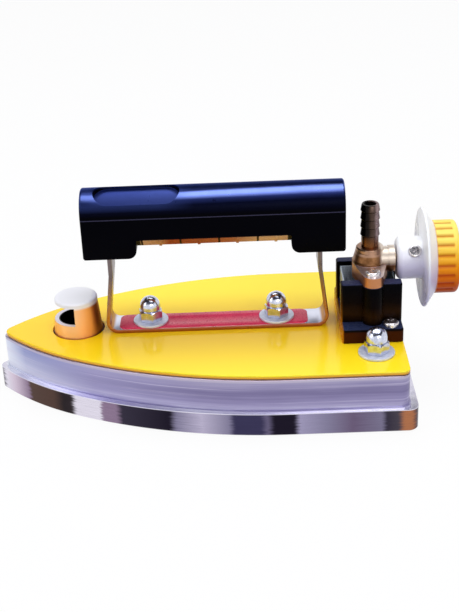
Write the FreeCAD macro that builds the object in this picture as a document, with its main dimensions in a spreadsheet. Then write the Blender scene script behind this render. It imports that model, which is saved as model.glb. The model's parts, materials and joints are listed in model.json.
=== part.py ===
"""Gas-heated pressing iron, as a parametric document in millimetres.

Frame: the origin lies in the ironing face, midway between tip and heel. The tip points to -X, the heel and
the gas cock to +X, and +Z goes up. Each sub-part ends as one labelled object and as parts/LABEL.step.
"""
import FreeCAD, Part
import math
import os
import Sketcher
from FreeCAD import Placement, Rotation, Vector

doc = FreeCAD.newDocument("PressingIron")
sheet = doc.addObject("Spreadsheet::Sheet", "Sizes")

SIZES = (
    # sole
    ("sole_length", 247.6, "tip to heel of the ironing face"),
    ("sole_half_width", 69.6, "centreline to the straight side"),
    ("sole_thickness", 14.4, "ironing face to the ledge"),
    ("shoulder_radius", 276, "plan radius from the straight side forwards"),
    ("shoulder_sweep", 26.9, "degrees turned by the shoulder arc"),
    ("nose_radius", 158, "plan radius beside the tip"),
    ("tip_radius", 5, "plan radius of the tip"),
    ("heel_radius", 6, "plan radius of the two heel corners"),
    ("sole_bevel", 0.8, "bevel round the ironing face"),
    ("boss_radius", 8, "cast bosses that take the studs"),
    # burner chamber
    ("chamber_height", 21.6, "wall between the sole and the cover"),
    ("chamber_inset", 1.8, "ledge of the sole outside the wall"),
    ("chamber_wall", 6, "thickness of the cast wall"),
    ("chamber_bevel_drop", 2.4, "height of the bevel under the cover"),
    ("chamber_bevel_width", 1.1, "width of the bevel under the cover"),
    ("cove_height", 1.2, "flare at the foot of the wall, upwards"),
    ("cove_width", 0.8, "flare at the foot of the wall, outwards"),
    ("rebate_width", 2, "step inside the wall that carries the sheet"),
    ("insulation_thickness", 3, "mineral sheet under the cover"),
    # cover
    ("cover_inset", 2.3, "sole edge to cover edge, at the sides"),
    ("cover_setback", 2, "how far the cover's nose sits back"),
    ("cover_rear_inset", 5, "sole edge to cover edge, at the heel"),
    ("cover_thickness", 2, "enamelled steel plate"),
    ("cover_tip_radius", 6, "plan radius of the cover's tip"),
    ("cover_heel_radius", 5, "plan radius of the cover's heel corners"),
    ("cover_edge_round", 0.6, "rounding of the cover's upper edge"),
    # studs, washers and cap nuts
    ("stud_radius", 4, "M8"),
    ("stud_inset", 18.7, "end of the nameplate to a centre stud"),
    ("stud_floor", 4.5, "floor of the sole left under a stud"),
    ("stud_engagement", 9.9, "length of a stud inside its cap nut"),
    ("washer_radius", 10.5, "outside"),
    ("washer_thickness", 1.6, "all four washers"),
    ("washer_gap", 1.9, "ledge of the valve holder to a corner washer"),
    ("nut_flats", 13, "across the flats of the cap nut"),
    ("nut_hex_height", 6.5, "hexagon of the cap nut"),
    ("nut_height", 15, "cap nut over the dome"),
    ("nut_dome_radius", 6.2, "dome of the cap nut"),
    ("nut_bore_depth", 10.5, "blind bore of the cap nut"),
    ("nut_chamfer", 0.7, "loss at the upper corners of the hexagon"),
    # chimney
    ("chimney_setback", 49.6, "tip of the sole to the axis of the vent"),
    ("chimney_radius", 14.6, "tube at the cover"),
    ("chimney_top_radius", 12.8, "tube under the cap, and the cap"),
    ("chimney_bore", 10.6, "radius of the flue"),
    ("chimney_gap", 1.2, "cover hole round the tube"),
    ("chimney_rim_height", 7.8, "lower rim of the window above the cover"),
    ("chimney_window", 11.2, "height of the window"),
    ("chimney_cap", 2.8, "thickness of the cap"),
    ("chimney_cap_round", 1.1, "rounding of the cap's upper edge"),
    ("chimney_floor", 3, "floor of the tube, held by its screw"),
    ("flue_port_width", 16, "port from the chamber into the flue"),
    # bracket and nameplate
    ("strap_width", 19.4, "steel strap"),
    ("strap_thickness", 2.5, "steel strap"),
    ("strap_to_chimney", 2.65, "chimney to the front foot of the strap"),
    ("strap_to_holder", 5.15, "rear foot of the strap to the valve holder"),
    ("upright_spread", 4.6, "how far the foot of an upright stands out"),
    ("upright_knee", 38, "height of the knee above the cover"),
    ("strap_bend", 5, "inside radius of the foot bend"),
    ("strap_shoulder", 3, "outside radius where an upright meets its tab"),
    ("tab_length", 13, "tab that is screwed into the handle"),
    ("tab_screw_setback", 7.15, "upright to the tab's screw"),
    ("plate_front_gap", 0.75, "front foot bend to the nameplate"),
    ("plate_rear_gap", 5.75, "nameplate to the rear foot bend"),
    ("plate_edge", 0.5, "strap left bare on each side of the nameplate"),
    ("plate_thickness", 0.5, "nameplate"),
    # handle
    ("handle_overhang", 14.6, "upright to the end of the handle"),
    ("handle_half_width", 14.2, "also the radius of its round top"),
    ("handle_lift", 75.4, "cover to the moulding line"),
    ("handle_drop", 24.5, "moulding line to the underside of the feet"),
    ("handle_end_round", 1.5, "rounding of the two end faces"),
    ("grip_drop", 18.3, "moulding line to the underside of the grip"),
    ("grip_bevel", 5, "bevel along the underside of the grip"),
    ("foot_wall", 2.8, "foot left between the tab's well and the grip"),
    ("foot_corner", 5, "round inner corner of a foot"),
    ("tab_clearance", 1, "well beyond the free end of the tab"),
    ("finger_ribs", 4, "ribs under the grip"),
    ("finger_pitch", 22.3, "distance between finger ribs"),
    ("finger_shift", 2.5, "ribs towards the heel from the middle"),
    ("finger_rib", 1.6, "width of a finger rib"),
    ("finger_rib_proud", 0.9, "height of a finger rib"),
    ("thumb_setback", 7.7, "front end of the handle to the thumb recess"),
    ("thumb_length", 50, "thumb recess along the handle"),
    ("thumb_width", 17, "thumb recess across"),
    ("thumb_floor", 8.8, "handle axis to the floor of the thumb recess"),
    ("thumb_tilt", 19, "degrees that the recess leans to the near side"),
    # valve holder
    ("valve_setback", 22.2, "heel of the sole to the axis of the cock"),
    ("valve_side", -2.5, "the cock sits a little to the near side"),
    ("holder_length", 35.7, "moulded holder along the iron"),
    ("holder_shift", 0.65, "middle of the holder from the cock's axis, towards the tip"),
    ("ledge_half_width", 30.1, "base with its ledges"),
    ("ledge_height", 8.7, "base above the cover"),
    ("holder_half_width", 20, "cock's axis to the outside of a plate"),
    ("holder_height", 33, "plates above the cover"),
    ("holder_side_wall", 6.5, "plates that carry the ears"),
    ("holder_end_wall", 2.1, "lips of the base towards tip and heel"),
    ("holder_floor", 5, "floor of the well in the base"),
    ("holder_corner", 2, "upright corners of the holder"),
    ("holder_edge", 1.2, "rounding of the upper edges"),
    ("pillar_radius", 6, "half-round pillars and the ears on them"),
    ("gauze_thickness", 0.8, "woven liner"),
    ("gauze_drop", 3, "liner below the rim"),
    ("ledge_screw_gap", 0.1, "plate to the head of a ledge screw"),
    ("holder_screw_offset", 10.3, "ledge screw from the cock's axis, along X"),
    ("holder_nut_radius", 4.6, "over the corners of the ledge screws' nuts"),
    # cock
    ("knob_axis_rise", 7.2, "top of the holder to the axis of plug, spindle and knob"),
    ("body_radius", 10.4, "round foot of the cock"),
    ("body_drop", 12.2, "knob axis to the bottom of the cock"),
    ("body_bevel", 1.5, "bevel round the bottom of the cock"),
    ("body_step", 0.6, "step from the round foot to the cone"),
    ("shoulder_height", 8.4, "knob axis to the top of the cock"),
    ("collar_radius", 8.1, "top of the cock"),
    ("collar_height", 2.4, "straight part under the nipple"),
    ("collar_step", 0.3, "step from the cone to the collar"),
    ("collar_bevel", 0.6, "bevel round the top of the collar"),
    ("branch_radius", 7.3, "side branch"),
    ("branch_proud", 0.4, "branch beyond the round foot of the cock"),
    ("ear_thickness", 6.2, "flange that ends in the two screw ears"),
    ("ear_screw_radius", 1.75, "M3.5 screws in the ears"),
    ("ear_screw_hole", 12, "depth of the hole in a pillar"),
    ("ear_screw_reach", 10.8, "length of screw in a pillar"),
    ("ear_head_radius", 4.4, "head of an ear screw"),
    ("ear_head_height", 2.4, "head of an ear screw"),
    ("plug_radius", 4.6, "large end of the taper plug"),
    ("plug_taper", 1, "loss of radius along the plug"),
    ("plug_rear", 8.5, "cock axis to the small end"),
    ("plug_front", 5.5, "cock axis to the large end"),
    ("gas_bore", 2, "gas way through cock and plug"),
    ("gland_radius", 7.8, "gland nut"),
    ("gland_length", 3.6, "gland nut outside the branch"),
    ("gland_spigot", 1.5, "gland nut inside the branch"),
    ("gland_rim", 1.5, "rim left outside the stop quadrant"),
    ("spindle_radius", 3, "spindle"),
    ("seal_width", 1.6, "groove of the spindle seal"),
    ("seal_depth", 0.8, "groove of the spindle seal"),
    ("seal_setback", 0.2, "end of the branch to the seal"),
    ("spring_edge", 0.6, "section of the disc spring"),
    ("quarter_turn", 90, "degrees from shut to full flow"),
    ("stop_depth", 1.8, "quadrant in the face of the gland nut"),
    ("stop_margin", 20, "degrees of the quadrant beyond the pin's axis"),
    ("stop_pin_radius", 0.8, "pin that stops the quarter turn"),
    ("stop_pin_gap", 0.5, "end of the pin to the quadrant's wall"),
    # injector
    ("jet_spigot", 3, "radius of the spigot in the cock"),
    ("jet_spigot_length", 3.5, "spigot in the cock"),
    ("jet_collar_radius", 4.5, "collar under the cock"),
    ("jet_collar", 3, "height of the collar"),
    ("jet_length", 5, "collar and nozzle under the cock"),
    ("jet_nozzle", 2.6, "radius of the nozzle at the collar"),
    ("jet_tip", 1.6, "radius of the nozzle at its tip"),
    ("jet_bore", 0.4, "radius of the jet"),
    ("jet_bore_length", 3, "narrow part of the jet"),
    # nipple
    ("nipple_length", 26.8, "above the collar"),
    ("nipple_stub", 3, "thread in the cock"),
    ("nipple_stub_radius", 4.8, "radius of that thread"),
    ("nipple_crest", 5.7, "radius over the barbs"),
    ("nipple_root", 5.1, "radius between the barbs"),
    ("nipple_bore", 3.5, "radius of the gas way"),
    ("nipple_mouth", 0.7, "bevel round the mouth"),
    ("barbs", 4, "barbs along the nipple"),
    ("barb_pitch", 5.05, "distance between barbs"),
    ("barb_setback", 4, "mouth to the first crest"),
    ("barb_lip", 0.5, "flat of a crest"),
    ("barb_step", 0.4, "steep side of a barb"),
    # knob
    ("hub_gap", 0.9, "gland nut to the hub"),
    ("hub_length", 15, "hub"),
    ("hub_radius", 12.6, "hub"),
    ("hub_round", 3, "rounded end of the hub"),
    ("hub_clearance", 0.8, "notch in the liner round the hub"),
    ("disc_radius", 29.4, "heat-shield disc"),
    ("disc_rim", 1.6, "rim of the disc"),
    ("disc_bevel", 0.6, "bevel behind the rim"),
    ("disc_cone", 5, "cone from the disc to the grip"),
    ("grip_radius", 21.5, "ribbed grip"),
    ("grip_length", 13.5, "ribbed grip"),
    ("grip_wall", 2.8, "wall of the grip"),
    ("grip_round", 2, "outer edge of the grip"),
    ("grip_spigot", 4, "spigot of the base inside the grip"),
    ("grip_flutes", 22, "flutes round the grip"),
    ("flute_radius", 1.3, "section of a flute"),
    ("flute_proud", 0.45, "axis of a flute outside the grip"),
    ("knob_screw_turn", 50, "degrees of the hub's screw from upright"),
    ("knob_screw_back", 5, "hub's screw from the disc"),
    ("knob_screw_radius", 2, "M4 screw of the hub"),
    ("knob_screw_sink", 0.6, "seat of its head below the hub's surface"),
    ("knob_head_radius", 3.8, "its head"),
    ("knob_head_height", 2.3, "its head"),
    # burner
    ("burner_height", 9.6, "sole ledge to the axis of the tubes"),
    ("leg_radius", 6, "burner tubes"),
    ("leg_spread", 20, "header's middle to a tube"),
    ("burner_to_chimney", 10.2, "chimney to the blind ends of the tubes"),
    ("tube_wall", 1.5, "burner tubes and header"),
    ("header_radius", 7, "cross header"),
    ("header_end", 2, "header beyond the tubes"),
    ("port_radius", 1, "flame ports"),
    ("port_pitch", 12, "distance between flame ports"),
    ("ports_per_leg", 10, "flame ports of a tube"),
    ("port_start", 0.2, "flame port from the tube's axis"),
    ("burner_foot_thickness", 3, "burner feet"),
    ("burner_foot_margin", 1, "screw head to the edge of a foot"),
    ("burner_foot_gap", 2, "tube to a screw head"),
    ("burner_foot_grip", 4, "half width of the post under a tube"),
    ("mixer_radius", 6, "mixer tube"),
    ("mixer_wall", 1.2, "wall of the mixer tube"),
    ("mixer_lip", 1, "wall at the mouth"),
    ("mixer_throat", 3, "radius of the throat"),
    ("mixer_cone", 8, "mouth to the throat"),
    ("mixer_neck", 4, "length of the throat"),
    ("mixer_end", 4, "axis of the header to the end of the mixer tube"),
    ("mixer_rise", 9, "holder's floor to the mouth of the mixer tube"),
    # small screws and fits
    ("screw_radius", 2.5, "M5 screws"),
    ("screw_head_radius", 4.5, "their pan heads"),
    ("screw_head_height", 2.6, "their pan heads"),
    ("screw_tail", 1, "thread beyond a nut"),
    ("sole_screw_reach", 5.9, "thread of a screw in the sole"),
    ("insert_radius", 4, "brass inserts in the handle"),
    ("insert_length", 10, "brass inserts in the handle"),
    ("handle_screw_reach", 8, "thread of a screw in its insert"),
    ("fit", 0.05, "clearance of a close fit, on the radius"),
    ("slack", 0.3, "clearance of a loose fit, on the radius"),
)

HEAD_ROUND = 0.6    # share of a screw head's height that is rounded
SAME_PLACE = 0.01   # distance under which two points count as one
LEAST_CUT = 0.01    # volume that a pocket removes at the least


class Size:
    """A number together with the sheet formula that gives it."""

    def __init__(self, value, formula):
        self.value = value
        self.formula = formula

    def __add__(self, other):
        other = as_size(other)
        return Size(self.value + other.value, f"({self.formula} + {other.formula})")

    def __sub__(self, other):
        other = as_size(other)
        return Size(self.value - other.value, f"({self.formula} - {other.formula})")

    def __mul__(self, other):
        other = as_size(other)
        return Size(self.value * other.value, f"({self.formula} * {other.formula})")

    def __truediv__(self, other):
        other = as_size(other)
        return Size(self.value / other.value, f"({self.formula} / {other.formula})")

    def __radd__(self, other):
        return as_size(other) + self

    def __rsub__(self, other):
        return as_size(other) - self

    def __rmul__(self, other):
        return as_size(other) * self

    def __neg__(self):
        return as_size(0) - self


def as_size(value):
    return value if isinstance(value, Size) else Size(float(value), f"{value:.9g}")


def root(size):
    return Size(math.sqrt(size.value), f"sqrt({size.formula})")


def sine(degrees):
    return Size(math.sin(math.radians(degrees.value)), f"sin({degrees.formula} * 1 deg)")


def cosine(degrees):
    return Size(math.cos(math.radians(degrees.value)), f"cos({degrees.formula} * 1 deg)")


class Dimensions:
    """The sheet's cells, read by their alias."""

    def __init__(self, rows):
        self.cells = {}
        for row, (alias, value, meaning) in enumerate(rows, start=1):
            sheet.set(f"A{row}", meaning)
            sheet.set(f"B{row}", str(value))
            sheet.setAlias(f"B{row}", alias)
            self.cells[alias] = Size(float(value), f"<<Sizes>>.{alias}")

    def __getattr__(self, alias):
        return self.cells[alias]


d = Dimensions(SIZES)
sheet.Label = "Sizes"
doc.recompute()

X_AXIS = Vector(1, 0, 0)
Y_AXIS = Vector(0, 1, 0)
Z_AXIS = Vector(0, 0, 1)
ALONG_X = Rotation(Y_AXIS, 90)
ALONG_Y = Rotation(X_AXIS, -90)
UPSIDE_DOWN = Rotation(X_AXIS, 180)


# Building blocks

def bind(item, name, size):
    item.setExpression(name, as_size(size).formula)


def place(item, x=0, y=0, z=0, turn=None):
    """Set an object's position by formulas, and its turn once."""
    if turn is not None:
        item.Placement = Placement(Vector(), turn)
    for axis, size in zip("xyz", (x, y, z)):
        bind(item, f"Placement.Base.{axis}", size)
    return item


def new_body(label):
    body = doc.addObject("PartDesign::Body", label)
    body.Label = label
    return body


def origin_feature(body, role):
    return next(item for item in body.Origin.OriginFeatures if item.Role == role)


def new_sketch(body, role="XY_Plane", offset=0):
    sketch = body.newObject("Sketcher::SketchObject", f"{body.Name}_sketch")
    sketch.AttachmentSupport = [(origin_feature(body, role), "")]
    sketch.MapMode = "FlatFace"
    bind(sketch, "AttachmentOffset.Base.z", offset)
    return sketch


def pin_point(sketch, element, end, u, v):
    """Tie one end of a sketch element to a place given by two formulas."""
    for kind, axis, size in (("DistanceX", -2, as_size(u)), ("DistanceY", -1, as_size(v))):
        if size.formula == "0":
            sketch.addConstraint(Sketcher.Constraint("PointOnObject", element, end, axis))
        else:
            rule = sketch.addConstraint(Sketcher.Constraint(kind, -1, 1, element, end, size.value))
            sketch.setExpression(f"Constraints[{rule}]", size.formula)


def hold_radius(sketch, element, radius):
    rule = sketch.addConstraint(Sketcher.Constraint("Radius", element, radius.value))
    sketch.setExpression(f"Constraints[{rule}]", radius.formula)


def trace(sketch, corners):
    """Close a profile through (u, v) corners; a third term is the radius of the arc that leaves the corner,
    positive where the arc turns to the left."""
    points = [Vector(as_size(c[0]).value, as_size(c[1]).value, 0) for c in corners]
    ends = []
    for index, corner in enumerate(corners):
        start, finish = points[index], points[(index + 1) % len(points)]
        radius = as_size(corner[2]) if len(corner) > 2 else None
        if radius is None:
            element = sketch.addGeometry(Part.LineSegment(start, finish))
            ends.append((element, 1, 2))
        else:
            left = radius.value > 0
            element = sketch.addGeometry(arc_between(start, finish, radius.value))
            hold_radius(sketch, element, radius if left else -radius)
            ends.append((element, 1, 2) if left else (element, 2, 1))
    for index, (element, first, last) in enumerate(ends):
        follower, entry, _ = ends[(index + 1) % len(ends)]
        sketch.addConstraint(Sketcher.Constraint("Coincident", element, last, follower, entry))
        pin_point(sketch, element, first, corners[index][0], corners[index][1])


def arc_between(start, finish, radius):
    """The short arc from start to finish; it turns left for a positive radius."""
    chord = finish - start
    reach = math.sqrt(max(radius * radius - chord.Length ** 2 / 4, 0))
    side = Vector(-chord.y, chord.x, 0).normalize() * math.copysign(1, radius)
    centre = (start + finish) / 2 + side * reach
    middle = centre - side * abs(radius)
    return Part.Arc(start, middle, finish)


def rectangle(sketch, u_low, u_high, v_low, v_high):
    trace(sketch, [(u_low, v_low), (u_high, v_low), (u_high, v_high), (u_low, v_high)])


def circle(sketch, u, v, radius):
    centre = Vector(as_size(u).value, as_size(v).value, 0)
    element = sketch.addGeometry(Part.Circle(centre, Z_AXIS, as_size(radius).value))
    hold_radius(sketch, element, as_size(radius))
    pin_point(sketch, element, 3, u, v)


def slot(sketch, u_low, u_high, radius):
    """A slot along u, on the u axis, with full round ends."""
    trace(sketch, [(u_low + radius, -radius), (u_high - radius, -radius, radius), (u_high, 0, radius),
                   (u_high - radius, radius), (u_low + radius, radius, radius), (u_low, 0, radius)])


def pad(body, sketch, length, both=False):
    feature = body.newObject("PartDesign::Pad", f"{body.Name}_pad")
    feature.Profile = sketch
    bind(feature, "Length", length)
    feature.Midplane = both
    return feature


def pocket(body, sketch, depth, down=True, both=False):
    """Cut away from a sketch: down is against the sketch's normal."""
    doc.recompute()
    before = body.Shape.Volume
    feature = body.newObject("PartDesign::Pocket", f"{body.Name}_pocket")
    feature.Profile = sketch
    bind(feature, "Length", depth)
    feature.Reversed = not down
    feature.Midplane = both
    doc.recompute()
    assert body.Shape.Volume < before - LEAST_CUT, f"{feature.Name} cuts nothing"
    return feature


def revolve(body, sketch):
    feature = body.newObject("PartDesign::Revolution", f"{body.Name}_turn")
    feature.Profile = sketch
    feature.ReferenceAxis = (sketch, ["V_Axis"])
    feature.Angle = 360
    return feature


def middle_of(edge):
    return edge.valueAt((edge.FirstParameter + edge.LastParameter) / 2)


def edges_of(body, test):
    """Names of the edges whose two ends and middle all pass a test."""
    doc.recompute()
    names = []
    for index, edge in enumerate(body.Shape.Edges, start=1):
        marks = [vertex.Point for vertex in edge.Vertexes] + [middle_of(edge)]
        if all(test(mark) for mark in marks):
            names.append(f"Edge{index}")
    assert names, f"no edge found on {body.Name}"
    return names


def near(value, size):
    return abs(value - as_size(size).value) < SAME_PLACE


def dress(body, kind, names, size):
    """Fillet or chamfer the named edges of a body's tip."""
    tip = body.Tip
    feature = body.newObject(f"PartDesign::{kind}", f"{body.Name}_{kind.lower()}")
    feature.Base = (tip, names)
    bind(feature, "Radius" if kind == "Fillet" else "Size", size)
    doc.recompute()
    return feature


def repeat(body, kind, original, axis, count):
    """Repeat a feature along or round one of the body's own axes."""
    pattern = body.newObject(f"PartDesign::{kind}", f"{original.Name}_row")
    pattern.Originals = [original]
    setattr(pattern, "Axis" if kind == "PolarPattern" else "Direction", (origin_feature(body, axis), [""]))
    bind(pattern, "Occurrences", count)
    body.Tip = pattern
    return pattern


def turned(label, profile, x=0, y=0, z=0, turn=None):
    """A turned piece: profile corners are (radius, height), turned about the local Z axis."""
    body = new_body(label)
    sketch = new_sketch(body, "XZ_Plane")
    trace(sketch, profile)
    revolve(body, sketch)
    place(body, x, y, z, turn)
    return body


def cylinder(radius, height, x=0, y=0, z=0, turn=None, angle=360):
    item = doc.addObject("Part::Cylinder", "Cylinder")
    bind(item, "Radius", radius)
    bind(item, "Height", height)
    bind(item, "Angle", angle)
    return place(item, x, y, z, turn)


def cone(low, high, height, x=0, y=0, z=0, turn=None):
    item = doc.addObject("Part::Cone", "Cone")
    bind(item, "Radius1", low)
    bind(item, "Radius2", high)
    bind(item, "Height", height)
    return place(item, x, y, z, turn)


def box(x_low, x_high, y_low, y_high, z_low, z_high):
    item = doc.addObject("Part::Box", "Box")
    bind(item, "Length", x_high - x_low)
    bind(item, "Width", y_high - y_low)
    bind(item, "Height", z_high - z_low)
    return place(item, x_low, y_low, z_low)


def hexagon(corner_radius, height):
    item = doc.addObject("Part::Prism", "Hexagon")
    item.Polygon = 6
    bind(item, "Circumradius", corner_radius)
    bind(item, "Height", height)
    return item


def fused(pieces, label="Joined"):
    item = doc.addObject("Part::MultiFuse", label)
    item.Shapes = pieces
    item.Label = label
    return item


def cut(base, tools, label="Trimmed"):
    item = doc.addObject("Part::Cut", label)
    item.Base = base
    item.Tool = fused(tools, f"{label}_tools") if len(tools) > 1 else tools[0]
    item.Label = label
    return item


def group(label, master, places, turn=None):
    """Copies of one fastener at several places, kept together as one sub-part."""
    copies = []
    for x, y, z in places:
        copy = doc.addObject("App::Link", f"{label}_copy")
        copy.LinkedObject = master
        copy.LinkTransform = False
        copies.append(place(copy, x, y, z, turn))
    node = doc.addObject("Part::Compound", label)
    node.Links = copies
    node.Label = label
    return node


def screw(label, shank_radius, shank, head_radius, head_height, seat=0, at=(0, 0, 0), turn=None):
    """Pan-head screw along the local Z axis, with its head above the seat and its shank below."""
    rounding = head_height * HEAD_ROUND
    top = seat + head_height
    return turned(label, [
        (0, seat - shank), (shank_radius, seat - shank), (shank_radius, seat), (head_radius, seat),
        (head_radius, top - rounding, rounding), (head_radius - rounding, top), (0, top)], *at, turn)


# Levels, counted upwards from the ironing face

sole_top = d.sole_thickness
cover_bottom = sole_top + d.chamber_height
cover_top = cover_bottom + d.cover_thickness
sheet_bottom = cover_bottom - d.insulation_thickness
strap_top = cover_top + d.strap_thickness
plate_top = strap_top + d.plate_thickness
handle_axis = cover_top + d.handle_lift
well_roof = handle_axis - d.grip_drop
ledge_top = cover_top + d.ledge_height
holder_top = cover_top + d.holder_height
holder_floor_top = cover_top + d.holder_floor
ear_top = holder_top + d.ear_thickness
knob_axis = holder_top + d.knob_axis_rise
cock_bottom = knob_axis - d.body_drop
cock_top = knob_axis + d.shoulder_height
burner_axis = sole_top + d.burner_height

# Stations along the iron, from the tip to the heel

heel = d.sole_length / 2
cover_heel = heel - d.cover_rear_inset
chimney_x = d.chimney_setback - heel
valve_x = heel - d.valve_setback
holder_front = valve_x - d.holder_shift - d.holder_length / 2
holder_rear = valve_x - d.holder_shift + d.holder_length / 2
foot_front = chimney_x + d.chimney_radius + d.strap_to_chimney
foot_rear = holder_front - d.strap_to_holder
strap_middle = (foot_front + foot_rear) / 2
foot_half_span = (foot_rear - foot_front) / 2
upright_half_span = foot_half_span - d.strap_thickness / 2 - d.upright_spread
plate_front = foot_front + d.strap_thickness + d.strap_bend + d.plate_front_gap
plate_rear = foot_rear - d.strap_thickness - d.strap_bend - d.plate_rear_gap
centre_studs = (plate_front + d.stud_inset, plate_rear - d.stud_inset)
burner_foot_x = (centre_studs[0] + centre_studs[1]) / 2
handle_front = strap_middle - upright_half_span - d.handle_overhang
handle_rear = strap_middle + upright_half_span + d.handle_overhang
well_reach = d.tab_length + d.tab_clearance
foot_length = d.handle_overhang + well_reach + d.foot_wall
tab_screw_span = upright_half_span - d.tab_screw_setback
branch_reach = d.body_radius + d.branch_proud
branch_end = valve_x + branch_reach
hub_start = branch_reach + d.gland_length + d.hub_gap
disc_start = hub_start + d.hub_length
grip_start = disc_start + d.disc_rim + d.disc_cone
knob_screw_x = valve_x + disc_start - d.knob_screw_back

# Places across the iron

holder_sides = (d.valve_side - d.holder_half_width, d.valve_side + d.holder_half_width)
ledge_sides = (d.valve_side - d.ledge_half_width, d.valve_side + d.ledge_half_width)
ledge_screw_side = d.holder_half_width + d.ledge_screw_gap + d.screw_head_radius
corner_stud_side = d.ledge_half_width - d.valve_side + d.washer_gap + d.washer_radius
burner_foot_side = d.leg_spread + d.leg_radius + d.burner_foot_gap + d.screw_head_radius
holder_screws = ((valve_x + d.holder_screw_offset, d.valve_side - ledge_screw_side),
                 (valve_x - d.holder_screw_offset, d.valve_side + ledge_screw_side))
burner_feet = ((burner_foot_x, d.valve_side - burner_foot_side),
               (burner_foot_x, d.valve_side + burner_foot_side))
studs = ((centre_studs[0], 0, plate_top), (centre_studs[1], 0, plate_top),
         (valve_x, -corner_stud_side, cover_top), (valve_x, corner_stud_side, cover_top))

# Clearance holes

stud_hole = d.stud_radius + d.slack
screw_hole = d.screw_radius + d.slack
screw_thread = d.screw_radius + d.fit
chimney_hole = d.chimney_radius + d.chimney_gap
mixer_hole = d.mixer_radius + d.slack
hub_notch = d.hub_radius + d.hub_clearance


# Sole, chamber and cover

def boat(sketch, inset, setback, tip_radius, heel_x, heel_radius):
    """The iron's plan outline: tip arc, nose arcs, shoulder arcs, straight sides and a square heel."""
    shoulder = d.shoulder_radius - inset
    nose = d.nose_radius - inset
    step = d.shoulder_radius - d.nose_radius
    nose_y = d.sole_half_width - d.shoulder_radius + step * cosine(d.shoulder_sweep)
    side_y = d.sole_half_width - inset
    sole_lean = -nose_y / (d.nose_radius - d.tip_radius)
    sole_reach = (d.nose_radius - d.tip_radius) * root(1 - sole_lean * sole_lean)
    nose_x = -heel + d.tip_radius + sole_reach + setback
    shoulder_x = nose_x + step * sine(d.shoulder_sweep)
    lean = -nose_y / (nose - tip_radius)
    slope = root(1 - lean * lean)
    tip_x = nose_x - (nose - tip_radius) * slope
    half = [(tip_x - tip_radius * slope, tip_radius * lean, nose),
            (shoulder_x - shoulder * sine(d.shoulder_sweep),
             d.sole_half_width - d.shoulder_radius + shoulder * cosine(d.shoulder_sweep), shoulder),
            (shoulder_x, side_y, None),
            (heel_x - heel_radius, side_y, heel_radius),
            (heel_x, side_y - heel_radius, None)]
    path = [(x, -y, radius) for x, y, radius in half]
    back = [(x, y) for x, y, _ in reversed(half)]
    leaving = [heel_radius, None, shoulder, nose, tip_radius]
    path += [(x, y, radius) for (x, y), radius in zip(back, leaving)]
    trace(sketch, [corner if corner[2] is not None else corner[:2] for corner in path])


def boat_plate(label, inset, setback, tip_radius, heel_x, heel_radius, low, height):
    body = new_body(label)
    sketch = new_sketch(body, offset=low)
    boat(sketch, as_size(inset), as_size(setback), tip_radius, heel_x, heel_radius)
    pad(body, sketch, height)
    return body


def make_sole():
    """Cast sole with bosses for the studs and blind threads for the screws inside the chamber."""
    body = boat_plate("sole_plate", 0, 0, d.tip_radius, heel, d.heel_radius, 0, d.sole_thickness)
    dress(body, "Chamfer", edges_of(body, lambda p: near(p.z, 0)), d.sole_bevel)
    bosses = new_sketch(body, offset=sole_top)
    for x, y, _ in studs:
        circle(bosses, x, y, d.boss_radius)
    pad(body, bosses, d.chamber_height)
    holes = new_sketch(body, offset=cover_bottom)
    for x, y, _ in studs:
        circle(holes, x, y, d.stud_radius + d.fit)
    pocket(body, holes, cover_bottom - d.stud_floor)
    threads = new_sketch(body, offset=sole_top)
    for x, y in (*burner_feet, (chimney_x, 0)):
        circle(threads, x, y, screw_thread)
    pocket(body, threads, sole_top - d.stud_floor)


def make_chamber():
    """Cast wall ring: bevelled under the cover and flared at its foot.

    A rebate inside takes the mineral sheet, and a relief clears a ledge screw and its nut.
    """
    body = boat_plate("burner_chamber", d.chamber_inset, d.cover_setback, d.tip_radius, cover_heel,
                      d.heel_radius, sole_top, d.chamber_height)
    top_edges = edges_of(body, lambda p: near(p.z, cover_bottom))
    bevel = dress(body, "Chamfer", top_edges, d.chamber_bevel_width)
    bevel.ChamferType = "Two distances"
    bind(bevel, "Size2", d.chamber_bevel_drop)
    cove = new_sketch(body, offset=sole_top)
    boat(cove, d.chamber_inset - d.cove_width, d.cover_setback, d.tip_radius, cover_heel + d.cove_width,
         d.heel_radius)
    pad(body, cove, d.cove_height)
    for wall, depth in ((d.chamber_wall, d.chamber_height),
                        (d.chamber_wall - d.rebate_width, d.insulation_thickness)):
        room = new_sketch(body, offset=cover_bottom)
        boat(room, d.chamber_inset + wall, d.cover_setback, d.tip_radius, cover_heel - wall, d.heel_radius)
        pocket(body, room, depth)
    relief = new_sketch(body, offset=cover_bottom)
    for x, y in holder_screws:
        circle(relief, x, y, d.holder_nut_radius + d.slack)
    pocket(body, relief, d.insulation_thickness + d.screw_tail + d.slack)


def make_insulation():
    wall = d.chamber_wall - d.rebate_width + d.slack
    body = boat_plate("insulation_sheet", d.chamber_inset + wall, d.cover_setback, d.tip_radius,
                      cover_heel - wall, d.heel_radius, sheet_bottom, d.insulation_thickness)
    holes = new_sketch(body, offset=cover_bottom)
    for x, y, _ in studs:
        circle(holes, x, y, d.boss_radius + d.slack)
    circle(holes, chimney_x, 0, chimney_hole)
    circle(holes, valve_x, d.valve_side, mixer_hole)
    for x, y in holder_screws:
        circle(holes, x, y, d.holder_nut_radius + d.slack)
    pocket(body, holes, d.insulation_thickness)


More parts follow.
